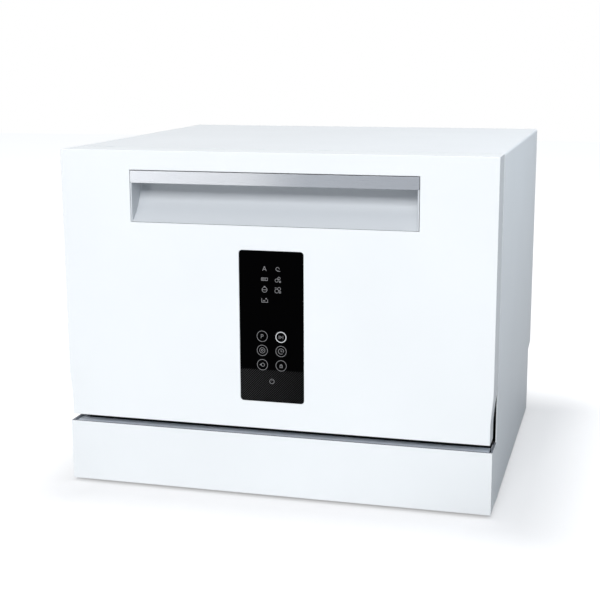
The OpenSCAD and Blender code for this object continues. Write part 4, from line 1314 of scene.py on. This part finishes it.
@dataclass
class Rack:
    """The roll-out rack with its rollers and the cutlery basket."""

    paints: Paints
    trees: dict[str, GeoTree]
    wire_r: float = 1.5 * MM
    bend: float = 7 * MM
    slope: float = 50 * MM
    long_n: int = 9
    long_in: float = 5.5 * MM
    cross_n: int = 7
    first_cross: float = 13.5 * MM
    last_cross: float = 16.5 * MM
    side_rise: float = 27.3 * MM
    side_lead: float = 17 * MM
    rim_r: float = 2.0 * MM
    rim_bend: float = 14 * MM
    rows: int = 3
    tine_n: int = 8
    tine_in: float = 11.5 * MM
    # Radius and height of each point of a tine's coated tip, as shares of the wire's radius
    tip: tuple[tuple[float, float], ...] = (
        (0, -2), (0.9, -2), (1.25, -0.6), (1.1, 0.5), (0.6, 0.9), (0, 1))

    def build(self) -> None:
        """Makes every piece of the rack."""
        p = self.paints
        self.frame()
        self.tines()
        soften("roller_brackets", p.grey, 0.6)
        for row in ("front", "rear"):
            for side in ("left", "right"):
                soften(f"roller_{row}_{side}", p.pale, 0.8, 3)
        soften("cutlery_basket", p.grey, 0.5)

    def frame(self) -> None:
        """Bends the rack's wires: those across lie under those along, inside the rim."""
        low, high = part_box("rack_frame")
        r, tree, finish = self.wire_r, self.trees["wire"], self.paints.wire
        foot_y, rear = low.y + self.slope, high.y - r
        floor_z, top = low.z + r, high.z - 2 * r
        long_hw = high.x - self.long_in
        along = [[(x, low.y + 2 * r, top), (x, foot_y, floor_z + 2 * r),
                  (x, rear, floor_z + 2 * r), (x, rear, top)]
                 for x in (long_hw * (2 * i / (self.long_n - 1) - 1) for i in range(self.long_n))]
        first, last = foot_y + self.first_cross, high.y - self.last_cross
        across = [[(low.x + r, y, top), (low.x + r, y, floor_z), (high.x - r, y, floor_z),
                   (high.x - r, y, top)]
                  for y in (first + (last - first) * i / (self.cross_n - 1)
                            for i in range(self.cross_n))]
        side_x, side_z = high.x - 3 * r, low.z + self.side_rise
        sides = [[(s * side_x, foot_y - self.side_lead, side_z), (s * side_x, rear, side_z)]
                 for s in (-1, 1)]
        left, right, front = low.x + self.rim_r, high.x - self.rim_r, low.y + self.rim_r
        back, rim_z = high.y - self.rim_r, high.z - self.rim_r
        rim = [[(left, front, rim_z), (right, front, rim_z), (right, back, rim_z),
                (left, back, rim_z)]]
        parts = [wires("along", tree, along, finish, r, self.bend),
                 wires("across", tree, across, finish, r, self.bend),
                 wires("sides", tree, sides, finish, r, self.bend),
                 wires("rim", tree, rim, finish, self.rim_r, self.rim_bend, True)]
        own(merged("rack_wires", parts, finish), "rack_frame")

    def tines(self) -> None:
        """Stands the rows of coated tines on their foot wires."""
        low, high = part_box("plate_tines")
        r, tree, finish = self.wire_r, self.trees["wire"], self.paints.wire
        xs = [low.x + r + (high.x - low.x - 2 * r) * i / (self.rows - 1)
              for i in range(self.rows)]
        reach = high.y - low.y - 2 * self.tine_in
        ys = [low.y + self.tine_in + reach * i / (self.tine_n - 1) for i in range(self.tine_n)]
        feet = [[(x, low.y, low.z + r), (x, high.y, low.z + r)] for x in xs]
        posts = [[(x, y, low.z + r), (x, y, high.z - r)] for x in xs for y in ys]
        knob = lathe("tine_tip", [(a * r, h * r) for a, h in self.tip], finish, 12)
        parts = [wires("feet", tree, feet, finish, r, self.bend),
                 wires("posts", tree, posts, finish, r, self.bend),
                 stamped("tips", self.trees["stamp"], knob,
                         [(x, y, high.z - r) for x in xs for y in ys])]
        own(merged("coated_tines", parts, finish), "plate_tines")


@dataclass
class WashSystem:
    """Sump, filters, spray arm, pumps and hoses."""

    paints: Paints
    trees: dict[str, GeoTree]
    hole_pitch: float = 5 * MM
    hole_r: float = 1.25 * MM
    hole_steps: int = 8
    sheet_share: float = 0.7
    rim_w: float = 12 * MM
    rim_steps: int = 64
    hub_r: tuple[float, float] = (13.2 * MM, 20 * MM)
    cup_r: tuple[float, float] = (34.5 * MM, 43 * MM)
    overlap: float = 1 * MM

    def build(self) -> None:
        """Makes every piece of the wash system."""
        p = self.paints
        finishes = {
            "sump": p.dark, "filter_cup": p.grey, "spray_support": p.grey,
            "spray_arm": p.grey, "circulation_pump": p.dark, "flow_heater": p.tub,
            "riser_hose": p.rubber, "drain_pump": p.dark, "drain_hose": p.rubber,
            "drain_port": p.dark, "inlet_valve": p.pale, "fill_hose": p.rubber,
            "cord_gland": p.rubber, "air_break": p.pale, "water_softener": p.pale,
            "salt_cap": p.grey, "float_switch": p.dark, "water_float": p.grey,
            "control_box": p.dark,
        }
        for node, finish in finishes.items():
            soften(node, finish, 0.6)
        self.filter_plate()

    def filter_plate(self) -> None:
        """Punches the round filter plate: tiles with a hole each, inside pressed rims."""
        low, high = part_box("flat_filter")
        cup_low, cup_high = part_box("filter_cup")
        centre = (0.5 * (low.x + high.x), 0.5 * (low.y + high.y))
        cup = (0.0, 0.5 * (cup_low.y + cup_high.y))
        outer, thick, mid = 0.5 * (high.x - low.x), high.z - low.z, 0.5 * (low.z + high.z)
        parts = [self.rim(centre, outer - self.rim_w, outer, mid, thick),
                 self.rim((0.0, 0.0), *self.hub_r, mid, thick),
                 self.rim(cup, *self.cup_r, mid, thick)]
        pitch, points = self.hole_pitch, []
        reach = int(outer / pitch) + 1
        for i in range(-reach, reach + 1):
            for j in range(-reach, reach + 1):
                at = (centre[0] + i * pitch, centre[1] + j * pitch)
                if (math.dist(at, centre) < outer - self.rim_w + self.overlap
                        and math.dist(at, (0.0, 0.0)) > self.hub_r[1] - self.overlap
                        and math.dist(at, cup) > self.cup_r[1] - self.overlap):
                    points.append((*at, mid))
        tile = self.tile(self.sheet_share * thick)
        parts.append(stamped("tiles", self.trees["stamp"], tile, points))
        own(merged("filter_sieve", parts, self.paints.mesh), "flat_filter")

    def rim(self, centre: tuple[float, float], inner: float, outer: float, mid: float,
            thick: float) -> bpy.types.Object:
        """Presses one flat round rim of the plate.

        Args:
            centre: Its middle in X and Y.
            inner: Its inner radius.
            outer: Its outer radius.
            mid: Height of its middle.
            thick: Its thickness.

        Returns:
            The rim.
        """
        half, n = 0.5 * thick, self.rim_steps
        turns = [(math.cos(math.tau * i / n), math.sin(math.tau * i / n)) for i in range(n)]
        loops = [[(centre[0] + r * c, centre[1] + r * s, mid + h) for c, s in turns]
                 for r, h in ((inner, -half), (outer, -half), (outer, half), (inner, half))]
        return closed_ring("rim", loops, self.paints.mesh)

    def tile(self, thick: float) -> bpy.types.Object:
        """Makes one square of the sieve with its round hole.

        Args:
            thick: Thickness of the sheet.

        Returns:
            The stamp.
        """
        half, side, n = 0.5 * thick, 0.5 * self.hole_pitch, self.hole_steps
        turns = [(math.cos(math.tau * i / n), math.sin(math.tau * i / n)) for i in range(n)]
        hole = [(c * self.hole_r, s * self.hole_r) for c, s in turns]
        square = []
        for c, s in turns:
            grow = side / max(abs(c), abs(s))
            square.append((c * grow, s * grow))
        loops = [[(x, y, h) for x, y in loop]
                 for loop, h in ((hole, -half), (square, -half), (square, half), (hole, half))]
        return closed_ring("tile", loops, self.paints.mesh)


# ------------------------------------------------------------------ studio

@dataclass(frozen=True)
class Lamp:
    """A square soft lamp, which the camera doesn't see."""

    name: str
    at: Point
    aim: Point
    size: float
    watts: float
    tint: Colour = (1.0, 1.0, 1.0)

    def hang(self) -> None:
        """Hangs the lamp so that it faces its aim."""
        data = bpy.data.lights.new(self.name, "AREA")
        data.shape, data.size = "SQUARE", self.size
        data.energy, data.color = self.watts, self.tint
        obj = bpy.data.objects.new(self.name, data)
        obj.location = self.at
        facing = Vector(self.aim) - Vector(self.at)
        obj.rotation_euler = facing.to_track_quat("-Z", "Y").to_euler()
        obj.visible_camera = False
        bpy.context.scene.collection.objects.link(obj)


@dataclass
class Studio:
    """Floor, lamps, sky and camera, as the photograph has them."""

    camera_at: Point = (0.42704, -1.68165, 0.56120)
    yaw: float = -0.266862
    pitch: float = -0.201091
    roll: float = -0.004292
    focal_px: float = 1237.2225
    frame_px: float = 600.0
    sensor_mm: float = 36.0
    sky: float = 0.26
    sky_tint: Colour = (0.74, 0.87, 1.0)
    lamps: tuple[Lamp, ...] = (
        Lamp("key", (0.5, -6.4, 4.5), (0, 0, 0.2), 3.0, 378.0),
        Lamp("right", (3.3, -6.2, 3.4), (0, 0, 0.2), 1.6, 22.0, (0.86, 0.94, 1.0)),
        Lamp("top", (0.0, -0.5, 4.0), (0, 0, 0.2), 3.0, 46.0, (1.0, 0.965, 0.925)),
        Lamp("left", (-3.2, -6.2, 0.75), (0, 0, 0.2), 1.3, 36.0),
        Lamp("side", (0.9, 0.0, 0.75), (0, 0, 0.75), 0.4, 1.5, (0.76, 0.89, 1.0)),
    )
    floor_half: float = 6.0
    floor_grey: Colour = (0.50, 0.50, 0.51)
    # How much light the floor returns: little on a round patch right of the machine
    bounce: float = 0.62
    dark_bounce: float = 0.03
    dark_at: Point = (0.58, 0.08, 0.0)
    dark_r: tuple[float, float] = (0.32, 0.62)
    # How white the floor looks: less round the machine's base, a painted shadow, from the first
    # reach to the last
    shade_shift: Point = (0.035, -0.03, 0.0)
    shade_reach: tuple[float, float] = (-0.03, 0.20)
    shade_glow: tuple[float, float] = (0.385, 0.83)

    def build(self) -> None:
        """Makes the floor, the lamps, the sky and the camera."""
        self.floor()
        self.world()
        for lamp in self.lamps:
            lamp.hang()
        self.camera()

    def camera(self) -> None:
        """Sets the camera to the photograph's place and angle."""
        cy, sy = math.cos(self.yaw), math.sin(self.yaw)
        cp, sp = math.cos(self.pitch), math.sin(self.pitch)
        ahead = Vector((sy * cp, cy * cp, sp))
        level = Vector((cy, -sy, 0))
        upward = level.cross(ahead)
        c, s = math.cos(self.roll), math.sin(self.roll)
        right, up = c * level + s * upward, c * upward - s * level
        data = bpy.data.cameras.new("photo_camera")
        data.sensor_fit, data.sensor_width = "HORIZONTAL", self.sensor_mm
        data.lens = self.sensor_mm * self.focal_px / self.frame_px
        obj = bpy.data.objects.new("photo_camera", data)
        turn = Matrix((right, up, -ahead)).transposed().to_4x4()
        obj.matrix_world = Matrix.Translation(self.camera_at) @ turn
        bpy.context.scene.collection.objects.link(obj)
        bpy.context.scene.camera = obj

    def white_rays(self, tree: bpy.types.NodeTree) -> bpy.types.NodeSocket:
        """One for the rays that should find a white background, zero for those of light.

        Args:
            tree: The node tree that needs it.

        Returns:
            The value's socket.
        """
        seen = tree.nodes.new("ShaderNodeLightPath")
        total = seen.outputs["Is Camera Ray"]
        for kind in ("Is Glossy Ray", "Is Transmission Ray"):
            either = tree.nodes.new("ShaderNodeMath")
            either.operation = "MAXIMUM"
            tree.links.new(total, either.inputs[0])
            tree.links.new(seen.outputs[kind], either.inputs[1])
            total = either.outputs[0]
        return total

    def glow(self, s: Shader, at: bpy.types.NodeSocket) -> bpy.types.NodeSocket:
        """How white the floor looks, which drops close to the machine's base as a painted shadow.

        Args:
            s: The floor's shader.
            at: Its coordinates.

        Returns:
            The socket of the strength.
        """
        folded = s.reckon("ABSOLUTE", s.reckon("SUBTRACT", at, self.shade_shift).outputs[0])
        half = (CAD_BOX[1][0], CAD_BOX[1][1], 0)
        past = s.reckon("MAXIMUM", s.reckon("SUBTRACT", folded.outputs[0], half).outputs[0])
        reach = s.reckon("LENGTH", past.outputs[0]).outputs["Value"]
        return s.remap(reach, *self.shade_reach, *self.shade_glow, smooth=True)

    def floor(self) -> None:
        """Lays a pale floor that looks white, with a painted shadow round the machine's base, and
        returns less light at the machine's right.
        """
        half = self.floor_half
        mesh = bpy.data.meshes.new("floor")
        corners = [(-half, -half, 0), (half, -half, 0), (half, half, 0), (-half, half, 0)]
        mesh.from_pydata(corners, [], [(0, 1, 2, 3)])
        s = Shader("floor_white")
        s.tree.nodes.remove(s.surface)
        at = s.add("TexCoord").outputs["Object"]
        apart = s.reckon("DISTANCE", at, self.dark_at).outputs["Value"]
        level = s.remap(apart, *self.dark_r, self.dark_bounce, self.bounce, smooth=True)
        unseen = s.add("BsdfDiffuse", Color=level)
        seen = s.add("AddShader")
        s.feed(seen.inputs[0], s.add("BsdfDiffuse", Color=(*self.floor_grey, 1)).outputs[0])
        bright = s.add("Emission", Color=(1, 1, 1, 1), Strength=self.glow(s, at))
        s.feed(seen.inputs[1], bright.outputs[0])
        pick = s.add("MixShader", Fac=self.white_rays(s.tree))
        s.feed(pick.inputs[1], unseen.outputs[0])
        s.feed(pick.inputs[2], seen.outputs[0])
        s.feed(s.tree.nodes["Material Output"].inputs["Surface"], pick.outputs[0])
        new_object("floor", mesh, s.material)

    def world(self) -> None:
        """Gives a plain sky that looks white and lights at a plain level."""
        world = bpy.data.worlds.new("sky")
        world.use_nodes = True
        bpy.context.scene.world = world
        tree = world.node_tree
        level = tree.nodes.new("ShaderNodeMix")
        level.data_type = "RGBA"
        level.inputs[6].default_value = (*(c * self.sky for c in self.sky_tint), 1)
        level.inputs[7].default_value = (1, 1, 1, 1)
        tree.links.new(self.white_rays(tree), level.inputs[0])
        tree.links.new(level.outputs[2], tree.nodes["Background"].inputs["Color"])


def main() -> None:
    """Builds the machine piece by piece, and the studio round it."""
    logging.basicConfig(level=logging.INFO, format="%(name)s: %(message)s")
    bpy.context.scene.view_settings.view_transform = "Standard"
    Studio().build()
    paints = Paints(hatch_top=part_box("touch_glass")[0].z + HATCH_RISE)
    trees = {"wire": wire_tree(), "stamp": stamp_tree(), "coil": coil_tree()}
    for part in (Cabinet(paints, trees), Base(paints), Tub(paints), Hinges(paints, trees),
                 Door(paints, trees), Rack(paints, trees), WashSystem(paints, trees)):
        part.build()
        LOG.info("%s done", type(part).__name__)


if __name__ == "__main__":
    main()
